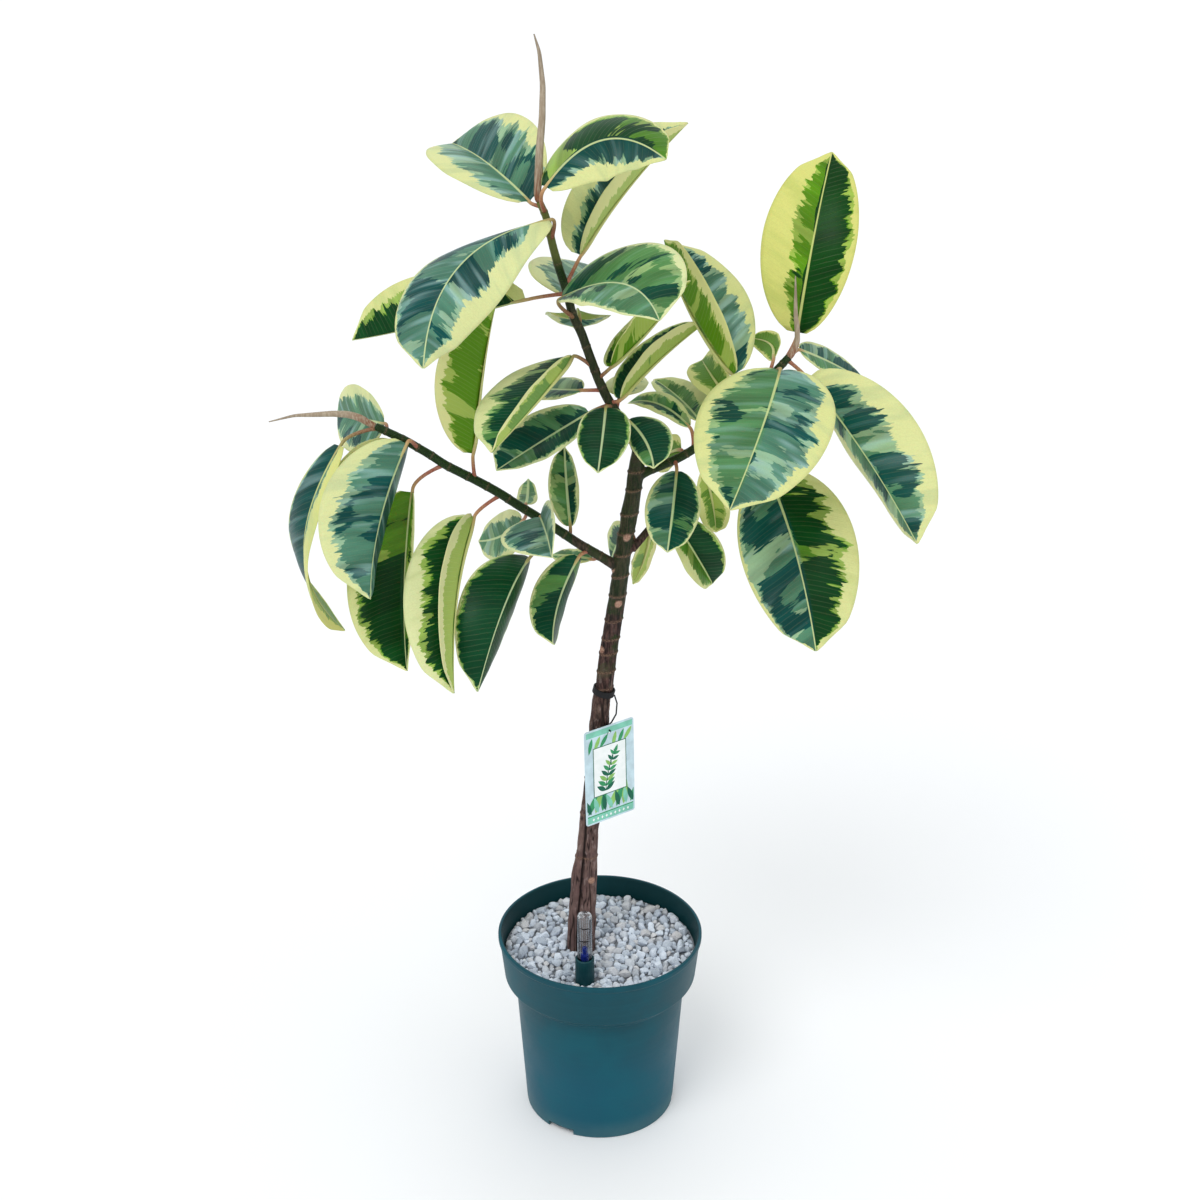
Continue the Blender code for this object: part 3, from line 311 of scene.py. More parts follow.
# The pot's section, (radius, z), outside first: foot, wall, band, lip and back down inside.
POT_PROFILE = [
    (0.0, 2.0), (60.0, 2.0), (84.0, 0.0), (88.6, 0.0), (89.0, 2.0), (89.6, 11.0), (90.2, 20.0),
    (100.0, 167.0), (104.0, 172.0), (113.0, 180.0), (118.2, 227.2), (120.0, 229.0),
    (120.0, 234.0), (119.0, 235.0), (116.4, 235.0), (115.6, 233.0), (110.4, 181.5),
    (97.4, 168.5), (86.4, 4.6), (0.0, 4.6),
]
POT_ROUNDING = 1.6
POT_STEPS = 160
POT_EDGE = 50.0
NOTCH_ANGLES = [-122.0, -2.0, 118.0]
NOTCH_REACH = 89.0
NOTCH_SIZE = (18.0, 34.0, 14.0)

# Stones: how often a place is tried for each range of radii, large ones first.
STONE_TRIES = [(650, 5.2, 7.8), (6000, 3.9, 5.4), (30000, 2.7, 3.9)]
STONE_SEED = 17
STONE_SPACING = 0.72
STONE_KINDS = 14
STONE_FLATS = 10
STONE_EDGE = 34.0
# A stone's lift above the fill as a share of its radius, and how its three axes are stretched.
STONE_LIFTS = (0.15, 0.75)
STONE_STRETCHES = [(0.9, 1.2), (0.8, 1.05), (0.7, 0.95)]
FILL_RADIUS = 111.6
# Kept clear of stones, (x, y, radius): the trunk, its foot's two stems and the gauge.
BLOCKED = [(-29.5, -1.0, 7.5), (-22.0, 3.0, 7.5), (-15.0, -2.0, 8.0), (-17.5, -68.0, 11.0)]
# In metres: where stones are dropped from, and the lowest fill that they rest on.
STONE_DROP = 0.26
LEAST_FILL = 0.19

# Gauge and card.
GAUGE_PLACE = (-17.5, -68.0)
MARK_RADIUS = 8.56
MARK_HEIGHTS = [268.0, 285.0]
MARK_WIDTH = 1.5
MARK_ANGLES = range(-135, -54, 10)
TAG_CENTRE = (11.0, -17.5, 457.0)
TAG_YAW = 36.0
TAG_LEAN = -2.0
TAG_THICKNESS = 0.9
PRINT_REACH = 32.6
PRINT_GAP = 0.04
PRINT_LAYER = 0.004


def srgb(red, green, blue):
    """An sRGB colour, 0 to 255, as linear values."""
    def linear(value):
        value /= 255.0
        return value / 12.92 if value <= 0.04045 else ((value + 0.055) / 1.055) ** 2.4
    return (linear(red), linear(green), linear(blue), 1.0)


class Value:
    """What a node's output gives. A sum, product or the like of it is a Math node."""

    def __init__(self, shader, socket):
        self.shader, self.socket = shader, socket

    def __add__(self, other):
        return self.shader.math("ADD", self, other)

    def __sub__(self, other):
        return self.shader.math("SUBTRACT", self, other)

    def __rsub__(self, other):
        return self.shader.math("SUBTRACT", other, self)

    def __mul__(self, other):
        return self.shader.math("MULTIPLY", self, other)

    def __truediv__(self, other):
        return self.shader.math("DIVIDE", self, other)

    def __abs__(self):
        return self.shader.math("ABSOLUTE", self)


class Shader:
    """A material's node tree with short calls that add nodes and return their outputs."""

    def __init__(self, name):
        self.material = bpy.data.materials.new(name)
        self.material.use_nodes = True
        self.tree = self.material.node_tree
        self.surface = self.tree.nodes["Principled BSDF"]
        self.set(Specular_IOR_Level=SPECULAR_LEVEL)

    def node(self, kind, inputs=(), output=0, **settings):
        made = self.tree.nodes.new("ShaderNode" + kind)
        for key, value in settings.items():
            setattr(made, key, value)
        for key, value in (inputs.items() if isinstance(inputs, dict) else enumerate(inputs)):
            self.feed(made.inputs[key], value)
        return Value(self, made.outputs[output])

    def feed(self, socket, value):
        if isinstance(value, Value):
            self.tree.links.new(value.socket, socket)
        else:
            socket.default_value = value

    def set(self, **values):
        for key, value in values.items():
            self.feed(self.surface.inputs[key.replace("_", " ")], value)

    def math(self, operation, *values):
        return self.node("Math", values, operation=operation)

    def step(self, value, low, high, start=0.0, end=1.0):
        """A smooth rise from start to end as value goes from low to high."""
        return self.node("MapRange", {"Value": value, "From Min": low, "From Max": high,
                                      "To Min": start, "To Max": end},
                         interpolation_type="SMOOTHSTEP")

    def mix(self, share, first, second, blend="MIX"):
        return self.node("Mix", {0: share, 6: first, 7: second}, output=2, data_type="RGBA",
                         blend_type=blend)

    def noise(self, scale, detail=2.0, roughness=0.5, place=None):
        """Noise over the object's own coordinates, or over the place that is given."""
        return self.node("TexNoise", {"Vector": place or self.position(), "Scale": scale,
                                      "Detail": detail, "Roughness": roughness})

    def vector(self, x, y, z):
        return self.node("CombineXYZ", (x, y, z))

    def shaded(self, colour, factor):
        """A colour multiplied by one factor in all its channels."""
        return self.mix(1.0, colour, self.vector(factor, factor, factor), "MULTIPLY")

    def attribute(self, name):
        """The three numbers of a vector attribute."""
        source = self.node("Attribute", attribute_name=name, output=1)
        split = self.tree.nodes.new("ShaderNodeSeparateXYZ")
        self.feed(split.inputs[0], source)
        return [Value(self, part) for part in split.outputs]

    def position(self):
        return self.node("TexCoord", output=3)

    def height(self):
        return self.node("SeparateXYZ", (self.position(),), output=2)

    def stretched(self, across, up):
        """The position scaled across and upwards, which draws a noise out."""
        return self.node("Mapping", {"Vector": self.position(), "Scale": (across, across, up)})

    def bump(self, height, strength, distance):
        return self.node("Bump", {"Height": height, "Strength": strength, "Distance": distance})


def leaf_material():
    """Both faces of a blade: jagged cream margin, dark and mid greens, painted sheen, side veins,
    midrib.
    """
    s = Shader("leaf_blade")
    along, across, share = s.attribute("blade")
    margin, dark, teal = s.attribute("paint")
    yellow, seed, under = s.attribute("tone")
    away = abs(across)
    vein = along - away * VEIN_LEAN
    seed = seed + s.math("GREATER_THAN", across, 0.0) * HALF_SHIFT

    def streaks(vein_scale, away_scale, shift, detail=2.0):
        """Noise drawn out along the side veins, scales per mm."""
        place = s.vector(vein * vein_scale, away * away_scale, seed + shift)
        return s.noise(1.0, detail, 0.6, place)

    # The cream margin, and the paler fringe that runs inside it.
    fine, broad = streaks(0.3, 0.05, 3.1), streaks(0.045, 0.012, 8.7)
    ragged = (fine - 0.5) * 0.5 + (broad - 0.5) * 0.95
    reach = abs(share) + margin - 1.0 + ragged * s.step(margin, 0.0, 0.3, 0.15, 0.75)
    cream_share = s.step(reach, -0.008, 0.008)
    ragged_in = (streaks(0.14, 0.02, 71.0, 3.0) - 0.46) * 1.1
    inner = reach + ragged_in * s.step(margin, 0.0, 0.3, 0.3, 1.0)

    # Dark and pale patches on the mid green.
    patches = streaks(0.025, 0.011, 21.3, 1.0) * 0.86 + streaks(0.24, 0.03, 33.9) * 0.14
    dark_share = s.step(dark * 0.46 + 0.27 - patches, -0.004, 0.004)
    dark_share = dark_share * (1.0 - s.step(inner, -0.07, -0.06))
    blots = streaks(0.034, 0.014, 47.1, 1.0) * 0.86 + fine * 0.14
    pale_share = s.math("MAXIMUM", s.step(blots, 0.575, 0.585), s.step(inner, -0.03, -0.02))

    # Each tone is given for a leaf with yellowish greens and for one with bluish greens.
    dark_tone = s.mix(teal, srgb(2, 60, 6), srgb(6, 70, 66))
    mid_tone = s.mix(teal, srgb(80, 132, 12), srgb(72, 120, 98))
    pale_tone = s.mix(teal, srgb(140, 170, 68), srgb(134, 168, 136))
    cream = s.mix(yellow, srgb(216, 222, 172), srgb(208, 209, 106))
    green = s.mix(dark_share, s.mix(pale_share, mid_tone, pale_tone), dark_tone)
    # Painted sheen: painted highlight and shade in streaks along the veins, brightening and
    # darkening the greens.
    green = s.shaded(green, s.step(streaks(0.05, 0.008, 91.0), 0.35, 0.68, 0.78, 1.28))
    # Painted reflection: pale bluish streaks along the veins of the bluer greens, fewer on the
    # dark patches.
    bluish = s.step(teal - dark_share * 0.3, 0.3, 0.95)
    painted_reflection = s.step(streaks(0.09, 0.012, 133.0, 1.0), 0.5, 0.74, 0.0, 0.55) * bluish
    green = s.mix(painted_reflection, green, srgb(156, 196, 192))
    tint = s.step(streaks(0.05, 0.014, 61.0), 0.45, 0.7, 0.0, 0.5)
    colour = s.mix(cream_share, green, s.mix(tint, cream, s.mix(0.5, cream, pale_tone)))

    # Side veins and midrib.
    cycle = s.math("FRACT", (vein + broad * 9.0) * 0.19)
    ridge = 1.0 - s.step(abs(cycle - 0.5), 0.0, 0.13)
    veined = ridge * s.step(away, 1.0, 5.0, 0.0, 0.075)
    colour = s.mix(veined, colour, s.mix(0.5, colour, srgb(205, 225, 160)))
    rib = 1.0 - s.step(away / s.step(along, 0.0, 150.0, 1.5, 0.7), 0.7, 1.25)
    rib_tone = s.mix(yellow, srgb(206, 222, 176), srgb(214, 218, 120))
    colour = s.mix(rib * 0.8, colour, rib_tone)
    colour = s.shaded(colour, s.step(s.noise(700.0, 3.0), 0.3, 0.7, 0.965, 1.035))

    # The underside is paler and duller.
    olive = s.mix(teal, srgb(86, 134, 18), srgb(136, 166, 112))
    pale_under = s.mix(dark_share, s.mix(0.6, olive, srgb(190, 206, 106)), olive)
    cream_under = s.mix(yellow, srgb(218, 220, 168), srgb(222, 220, 120))
    colour_under = s.mix(cream_share, pale_under, cream_under)
    colour_under = s.mix(veined, colour_under, srgb(222, 226, 170))

    ridges = ridge * s.step(away, 0.5, 4.0, 0.0, 0.5) + s.noise(350.0, 3.0) * 0.45
    gloss = s.step(cream_share, 0.0, 1.0, 0.3, 0.4) + s.noise(60.0) * 0.12
    s.set(Base_Color=s.mix(under, colour, colour_under), Roughness=gloss + under * 0.16,
          Normal=s.bump(ridges + rib * -1.6, 0.45, 0.0006), Specular_IOR_Level=LEAF_SPECULAR,
          Subsurface_Weight=0.08, Subsurface_Scale=0.004)
    return s.material


def stalk_material():
    """Leaf stalks, reddish at the stem, running out into the pale rib under the blade."""
    s = Shader("leaf_stalk")
    travel, warm, _ = s.attribute("stalk")
    speckle = s.noise(700.0, 4.0)
    red = s.mix(warm, srgb(128, 86, 62), srgb(158, 82, 70))
    tan = s.mix(warm, srgb(150, 140, 84), srgb(188, 138, 96))
    colour = s.mix(s.step(travel, 0.15, 0.95), red, tan)
    colour = s.mix(s.step(travel, 0.95, 1.15), colour, srgb(196, 200, 128))
    colour = s.mix(s.step(speckle, 0.35, 0.7, 0.0, 0.25), colour, srgb(214, 190, 150))
    ripple = speckle + s.noise(150.0) * 2.0
    s.set(Base_Color=colour, Roughness=s.step(speckle, 0.3, 0.7, 0.38, 0.52),
          Normal=s.bump(ripple, 0.4, 0.0005))
    return s.material


def bark_material():
    """Brown corky bark below, green skin on the young shoots, pale rings and leaf scars."""
    s = Shader("bark")
    green, ring, scar = s.attribute("bark")
    crack_shade = s.attribute("crack")[0]
    fibre = s.noise(420.0, 5.0, 0.65, s.stretched(1.0, 0.16))
    flecks = s.noise(900.0, 4.0, 0.6)
    blotch = s.noise(55.0, 4.0, 0.6)
    brown = s.mix(s.step(fibre, 0.35, 0.68), srgb(30, 20, 19), srgb(94, 68, 62))
    brown = s.mix(s.step(blotch, 0.45, 0.72, 0.0, 0.5), brown, srgb(122, 100, 88))
    dusty = s.mix(0.36, brown, srgb(150, 122, 118))
    brown = s.mix(1.0 - s.step(s.height(), 0.2, 0.55), brown, dusty)
    flakes = s.step(s.noise(190.0, 4.0, 0.5, s.stretched(1.0, 0.45)), 0.56, 0.66, 0.0, 0.5)
    brown = s.mix(flakes * s.step(green, 0.0, 0.5, 1.0, 0.2), brown, srgb(150, 130, 124))
    # Painted shade: the cracks and the groove between the foot's two stems are darkened almost to
    # black.
    brown = s.mix(s.step(crack_shade, 0.25, 0.9, 0.0, 0.9), brown, srgb(16, 9, 8))
    skin = s.mix(s.step(flecks, 0.4, 0.7), srgb(14, 38, 10), srgb(42, 70, 22))
    skin = s.mix(s.step(green, 0.93, 1.0, 0.0, 0.7), skin, srgb(118, 122, 62))
    mossy = s.step(blotch, 0.48, 0.6) * s.step(green, 0.05, 0.5, 0.0, 0.8)
    colour = s.mix(s.math("MAXIMUM", mossy, s.step(green, 0.55, 0.95)), brown, skin)
    ring_tone = s.mix(s.step(flecks, 0.4, 0.6), srgb(46, 30, 24), srgb(150, 118, 98))
    scar_tone = s.mix(s.step(flecks, 0.45, 0.6), srgb(182, 148, 128), srgb(138, 92, 76))
    colour = s.mix(scar, s.mix(ring * 0.75, colour, ring_tone), scar_tone)
    strength = s.step(green, 0.4, 1.0, 1.0, 0.25)
    s.set(Base_Color=colour, Roughness=s.step(green, 0.3, 1.0, 0.82, 0.45),
          Normal=s.bump(fibre + flecks * 0.35, strength, 0.0016))
    return s.material


def sheath_material():
    """The rolled scales: brown at the foot, greyish and streaked further out."""
    s = Shader("sheath")
    travel = s.attribute("stalk")[0]
    streak = s.noise(500.0, 3.0, 0.5, s.stretched(1.0, 0.2))
    colour = s.mix(s.step(travel, 0.0, 0.3), srgb(132, 84, 58), srgb(158, 140, 118))
    colour = s.mix(s.step(travel, 0.5, 1.0), colour, srgb(142, 128, 110))
    colour = s.mix(s.step(streak, 0.4, 0.65, 0.0, 0.5), colour, srgb(196, 182, 160))
    s.set(Base_Color=colour, Roughness=0.5, Normal=s.bump(streak, 0.35, 0.0006))
    return s.material


def pot_material():
    """Matte moulded polypropylene with a fine grain, faint flow lines and dust near the foot."""
    s = Shader("pot_plastic")
    inside = s.attribute("inside")[0]
    grain = s.noise(1400.0, 3.0)
    cloud = s.noise(14.0, 4.0, 0.6)
    rings = s.noise(260.0, 3.0, 0.5, s.stretched(0.02, 1.0))
    height = s.height()
    colour = s.mix(s.step(height, 0.06, 0.185), srgb(0, 78, 96), srgb(0, 66, 78))
    colour = s.mix(s.step(cloud, 0.4, 0.7, 0.0, 0.4), colour, srgb(2, 90, 104))
    colour = s.mix(s.step(rings, 0.5, 0.75, 0.0, 0.05), colour, srgb(24, 104, 112))
    # Painted shade: the inner wall is darkened.
    colour = s.mix(inside * 0.75, colour, srgb(4, 44, 44))
    dust = s.step(height, 0.0, 0.03, 0.35, 0.0) * cloud
    colour = s.mix(dust, colour, srgb(120, 140, 132))
    s.set(Base_Color=colour, Roughness=s.step(cloud, 0.3, 0.7, 0.42, 0.56),
          Normal=s.bump(grain + rings, 0.22, 0.0005))
    return s.material


def stone_material(name, light, dark):
    """Porous pumice: pits with painted shade, a grain and a tone that varies from stone to stone.
    """
    s = Shader(name)
    shade, warm, _ = s.attribute("stone")
    pits = s.node("TexVoronoi", {"Vector": s.position(), "Scale": 900.0})
    grain = s.noise(1500.0, 4.0, 0.7)
    colour = s.mix(warm, s.mix(shade, dark, light), srgb(206, 190, 172))
    # Painted shade: the pits are darkened.
    colour = s.mix(s.step(pits, 0.05, 0.25, 0.3, 0.0), colour, srgb(136, 132, 132))
    colour = s.mix(s.step(grain, 0.4, 0.65, 0.0, 0.3), colour, srgb(240, 240, 242))
    s.set(Base_Color=colour, Roughness=0.9, Normal=s.bump(pits * 1.4 + grain, 0.6, 0.0009))
    return s.material


def moulded_material(name, colour, roughness, transmission=0.0):
    """Small plastic parts: one colour with a slight cloud and a fine moulded grain."""
    s = Shader(name)
    cloud = s.noise(90.0, 3.0)
    lighter = tuple(min(1.0, value * 1.35 + 0.01) for value in colour[:3]) + (1.0,)
    s.set(Base_Color=s.mix(s.step(cloud, 0.35, 0.7, 0.0, 0.6), colour, lighter),
          Roughness=s.step(cloud, 0.3, 0.7, roughness, roughness + 0.08),
          Normal=s.bump(s.noise(1200.0), 0.12, 0.0003),
          Transmission_Weight=transmission)
    return s.material


def add_object(name, data):
    made = bpy.data.objects.new(name, data)
    bpy.context.scene.collection.objects.link(made)
    return made


def mesh_object(name, verts, faces, materials, smooth=True):
    mesh = bpy.data.meshes.new(name)
    mesh.from_pydata([tuple(vert) for vert in verts], [], faces)
    mesh.update()
    for entry in materials:
        mesh.materials.append(entry)
    if smooth:
        mesh.shade_smooth()
    return add_object(name, mesh)


def apply_modifiers(piece):
    """Gives a piece the mesh that its modifiers make."""
    bpy.context.view_layer.update()
    evaluated = piece.evaluated_get(bpy.context.evaluated_depsgraph_get())
    mesh = bpy.data.meshes.new_from_object(evaluated)
    piece.modifiers.clear()
    piece.data = mesh
    return mesh


def vector_attribute(mesh, name, values):
    attribute = mesh.attributes.new(name, "FLOAT_VECTOR", "POINT")
    attribute.data.foreach_set("vector", np.array(values, np.float32).ravel())


def finished(piece, slot, *nodes):
    """Lets a new piece stand for its CAD nodes and ride on their body."""
    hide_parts(*nodes)
    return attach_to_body(piece, BODY)


def shifted(faces, count):
    """Faces for vertices that come after count others."""
    return [tuple(index + count for index in face) for face in faces]


def tube_faces(rings, sides):
    """Quads between rings of points that follow each other, then a cap on either end."""
    faces = []
    for low in range(0, (rings - 1) * sides, sides):
        for k in range(sides):
            n = (k + 1) % sides
            faces.append((low + k, low + n, low + sides + n, low + sides + k))
    faces.append(tuple(range(sides))[::-1])
    faces.append(tuple(range((rings - 1) * sides, rings * sides)))
    return faces


def swept(path, across, sides):
    """A round tube along a path of (centre, radius), its rings starting on the side across."""
    verts = []
    for index, (centre, radius) in enumerate(path):
        ahead = path[min(index + 1, len(path) - 1)][0] - path[max(index - 1, 0)][0]
        along = ahead.normalized()
        side = (across - along * across.dot(along)).normalized()
        up = along.cross(side)
        for k in range(sides):
            turn = 2 * math.pi * k / sides
            verts.append((centre + (side * math.cos(turn) + up * math.sin(turn)) * radius) * MM)
    return verts, tube_faces(len(path), sides)


class Leaf:
    """One leaf: its points, its twist, its paint and its seeded draws."""

    def __init__(self, key, row, draw):
        points = [Vector(point) for point in row[:6]]
        self.foot, self.base, self.middle, self.tip, self.left, self.right = points
        self.paints = [[percent / 100.0 for percent in half] for half in row[6:8]]
        self.yellow = row[8] / 100.0
        self.twist = TWISTS.get(key, 0.0)
        self.cream_base = CREAM_BASES.get(key, 0.0)
        self.fresh_base = FRESH_BASES.get(key, 0.0)
        self.seed = draw.uniform(0.0, 90.0)
        self.warm = draw.random()

    def midrib(self, share):
        """Point and direction on the parabola through the three midrib points."""
        s = MID_STATION
        weights = ((share - s) * (share - 1.0) / s, share * (share - 1.0) / (s * (s - 1.0)),
                   share * (share - s) / (1.0 - s))
        slopes = ((2 * share - s - 1.0) / s, (2 * share - 1.0) / (s * (s - 1.0)),
                  (2 * share - s) / (1.0 - s))
        place = self.base * weights[0] + self.middle * weights[1] + self.tip * weights[2]
        along = self.base * slopes[0] + self.middle * slopes[1] + self.tip * slopes[2]
        return place, along.normalized()

    def station(self, share):
        """Midrib point, the half arms, and the upward normals: left, ridge, right."""
        mid_along = self.midrib(MID_STATION)[1]
        place, along = self.midrib(share)
        spin = Quaternion(along, math.radians(self.twist) * (share - MID_STATION))
        turn = spin @ mid_along.rotation_difference(along)
        arms = []
        for margin in (self.left, self.right):
            arm = margin - self.middle
            arm -= mid_along * arm.dot(mid_along)
            arms.append(turn @ arm)
        ups = [along.cross(arms[0]).normalized(), arms[1].cross(along).normalized()]
        ridge = (ups[0] + ups[1]).normalized()
        return place, arms, (ups[0], ridge / max(ridge.dot(ups[0]), 0.5), ups[1])


def outline_share(share):
    """A blade's half width at a station, as a share of its widest: oval with a drip tip."""
    oval = math.sin(math.pi * min(share, 0.999) ** 0.95) ** 0.5
    tip = min(1.0, max(0.0, (share - 0.88) / 0.12))
    return oval * (1.0 - 0.5 * tip * tip * (3.0 - 2.0 * tip))


def blade_mesh(leaf):
    """Vertices, faces and the three attributes of a blade's two faces."""
    verts, blade, paint, tone = [], [], [], []
    length = (leaf.tip - leaf.base).length
    steps = [k / HALF_STEPS for k in range(-HALF_STEPS, HALF_STEPS + 1)]
    for k in range(BLADE_STEPS + 1):
        share = BLADE_START + (1.0 - BLADE_START) * (k / BLADE_STEPS) ** 0.93
        place, arms, ups = leaf.station(share)
        width = outline_share(share)
        cream = TIP_CREAM * max(0.0, (share - TIP_START) / (1.0 - TIP_START))
        if leaf.cream_base:
            cream += 1.2 * max(0.0, 1.0 - share / leaf.cream_base)
        fresh = max(0.0, 1.0 - share / FRESH_END) * leaf.fresh_base
        for face in (1.0, -1.0):
            for step in (steps if face > 0 else steps[::-1]):
                half = 0 if step < 0 else 1
                arm = arms[half]
                up = ups[1].lerp(ups[2 * half], min(1.0, abs(step) * 5.0))
                reach = max(abs(step) * arm.length * width, LEAST_WIDTH * abs(step))
                crown = BLADE_CROWN * arm.length * width * math.sin(math.pi * abs(step))
                wave = noise.noise(Vector((share * 5.0, step * 1.3, leaf.seed))) * step * step
                thin = 1.0 - EDGE_THINNING * step ** 8
                lift = crown + wave * WAVE_HEIGHT * width + face * BLADE_THICKNESS / 2.0 * thin
                verts.append((place + arm.normalized() * reach + up * lift) * MM)
                margin, dark, teal = leaf.paints[half]
                blade.append((share * length, reach * (1 if step > 0 else -1), step))
                paint.append((min(MOST_CREAM, margin + cream), dark - fresh * 2.2,
                              teal * (1.0 - fresh)))
                tone.append((leaf.yellow, leaf.seed, 0.0 if face > 0 else 1.0))
    faces = tube_faces(BLADE_STEPS + 1, 2 * len(steps))
    return verts, faces, {"blade": blade, "paint": paint, "tone": tone}


def stalk_mesh(leaf, start):
    """The stalk from the stem to the blade and on as the rib under it, tapering to the tip."""
    bend = leaf.base - leaf.midrib(STALK_JOIN)[1] * (leaf.base - start).length * STALK_BEND
    path = []
    for k in range(STALK_STEPS + 1):
        t = k / STALK_STEPS
        spot = start * (1 - t) ** 2 + bend * 2 * t * (1 - t) + leaf.base * t * t
        swell = 1.0 + 0.28 * max(0.0, 1.0 - t / 0.12)
        path.append((spot, STALK_RADIUS * swell * (1.0 - 0.12 * t)))
    for k in range(1, RIB_STEPS):
        t = k / RIB_STEPS
        place, _, (_, up, _) = leaf.station(t)
        radius = STALK_RADIUS * 0.86 * (1.0 - t) ** 1.1 + RIB_TIP_RADIUS
        sink = radius * min(1.0, t / 0.1) * 0.72
        path.append((place - up * sink, radius))
    travels = [k / STALK_STEPS for k in range(STALK_STEPS + 1)]
    travels += [1.0 + k / RIB_STEPS for k in range(1, RIB_STEPS)]
    stalk = [(travel, leaf.warm, 0.0) for travel in travels for _ in range(STALK_SIDES)]
    verts, faces = swept(path, leaf.station(STALK_JOIN)[1][1].normalized(), STALK_SIDES)
    return verts, faces, stalk


def stalk_foot(name, attach):
    """The centre of the CAD leaf's first ring, the points nearest the stalk's foot."""
    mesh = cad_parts[name].data
    spots = {tuple(round(value / MM, 2) for value in vert.co) for vert in mesh.vertices}
    near = sorted(spots, key=lambda spot: (Vector(spot) - attach).length)[:FOOT_POINTS]
    return sum((Vector(spot) for spot in near), Vector()) / len(near)


def rooted(foot):
    """The stalk's foot carried a little way into the nearest wood, so that the joint is closed."""
    nearest = None
    for run in RUNS.values():
        for low, high in zip(run, run[1:]):
            start, axis = Vector(low[:3]), Vector(high[:3]) - Vector(low[:3])
            t = max(0.0, min(1.0, (foot - start).dot(axis) / axis.length_squared))
            inward = start + axis * t - foot
            gap = inward.length - (low[3] + (high[3] - low[3]) * t)
            if nearest is None or gap < nearest[0]:
                nearest = (gap, inward.normalized())
    return foot + nearest[1] * (max(nearest[0], 0.0) + STALK_ROOT)


def build_leaf(name, leaf, shaders):
    verts, faces, attributes = blade_mesh(leaf)
    foot = rooted(stalk_foot(name, leaf.foot))
    stalk_verts, stalk_faces, stalk = stalk_mesh(leaf, foot)
    piece = mesh_object("look_" + name, verts + stalk_verts,
                        faces + shifted(stalk_faces, len(verts)), shaders)
    for polygon in piece.data.polygons[len(faces):]:
        polygon.material_index = 1
    blank = [(0.0, 0.0, 0.0)]
    for key, values in attributes.items():
        vector_attribute(piece.data, key, values + blank * len(stalk_verts))
    vector_attribute(piece.data, "stalk", blank * len(verts) + stalk)
    finished(piece, "leaf", name)


def build_leaves():
    shaders = (leaf_material(), stalk_material())
    draw = random.Random(LEAF_SEED)
    for key, row in LEAVES.items():
        build_leaf("leaf_" + key, Leaf(key, row, draw), shaders)


def tube_data(run, sides, spacing):
    """A round tube along a run, resampled at a spacing in mm, as vertices and faces."""
    points = []
    for low, high in zip(run, run[1:]):
        steps = max(1, int((Vector(high[:3]) - Vector(low[:3])).length / spacing))
        points += [tuple(a + (b - a) * k / steps for a, b in zip(low, high))
                   for k in range(steps)]
    points.append(run[-1])
    centres = np.array(points)
    kernel = np.ones(5) / 5.0
    for column in range(3):
        smooth = np.convolve(centres[:, column], kernel, "same")
        centres[2:-2, column] = smooth[2:-2]
    path = [(Vector(row[:3]), row[3]) for row in centres]
    return swept(path, Vector((0.0, 1.0, 0.0)), sides)


def stem_skin():
    """The runs' tubes, melted into one skin."""
    verts, faces = [], []
    for run in RUNS.values():
        tube_verts, quads = tube_data(run, STEM_SIDES, STEM_SPACING)
        faces += shifted(quads, len(verts))
        verts += tube_verts
    stem = mesh_object("look_stem", verts, faces, [bark_material()])
    remesh = stem.modifiers.new("skin", "REMESH")
    remesh.mode, remesh.voxel_size = "VOXEL", STEM_VOXEL * MM
    melt = stem.modifiers.new("melt", "SMOOTH")
    melt.factor, melt.iterations = 0.5, 4
    apply_modifiers(stem).shade_smooth()
    return stem


def nearest_wood(spots):
    """Which points are nearest to each run, by its name, and the nearest place on its axis."""
    best, limb = np.full(len(spots), np.inf), np.zeros(len(spots))
    centre = np.zeros((len(spots), 3))
    for number, run in enumerate(RUNS.values()):
        for low, high in zip(run, run[1:]):
            start, axis = np.array(low[:3], float), np.array(high[:3], float) - low[:3]
            t = np.clip((spots - start) @ axis / (axis @ axis), 0.0, 1.0)
            at = start + t[:, None] * axis
            gap = np.linalg.norm(spots - at, axis=1) - (low[3] + (high[3] - low[3]) * t)
            closer = gap < best
            best[closer], centre[closer], limb[closer] = gap[closer], at[closer], number
    return {name: limb == number for number, name in enumerate(RUNS)}, centre


def node_rings(spots, centre, limbs, on_trunk):
    """How much of a node ring each point is, 0 to 1."""
    ring = np.zeros(len(spots))
    for height in NODE_HEIGHTS:
        tilt = height + RING_TILT * (spots[:, 0] - centre[:, 0])
        ring = np.maximum(ring, np.exp(-((spots[:, 2] - tilt) / RING_WIDTH) ** 2))
    ring *= on_trunk
    for name, knots in SHOOT_KNOTS.items():
        for knot in knots:
            away = np.linalg.norm(centre - np.array(knot, float), axis=1)
            faint = SHOOT_RING_SHARE * np.exp(-(away / SHOOT_RING_WIDTH) ** 2)
            ring = np.maximum(ring, faint * limbs[name])
    return ring


def leaf_scars(spots, out, limbs, on_trunk):
    """How much of a leaf scar each point is, 0 to 1."""
    scar = np.zeros(len(spots))
    for height, angle in SCARS:
        turn = math.radians(angle)
        aim = np.array([math.cos(turn), math.sin(turn), 0.0])
        sideways = np.arccos(np.clip(out @ aim, -1, 1)) * SCAR_ARM
        spread = np.hypot((spots[:, 2] - height) / SCAR_SIZE[0], sideways / SCAR_SIZE[1])
        owner = on_trunk if height > FOOT_TOP else limbs["foot"]
        scar = np.maximum(scar, np.clip((1.15 - spread) / 0.3, 0.0, 1.0) * owner)
    return scar


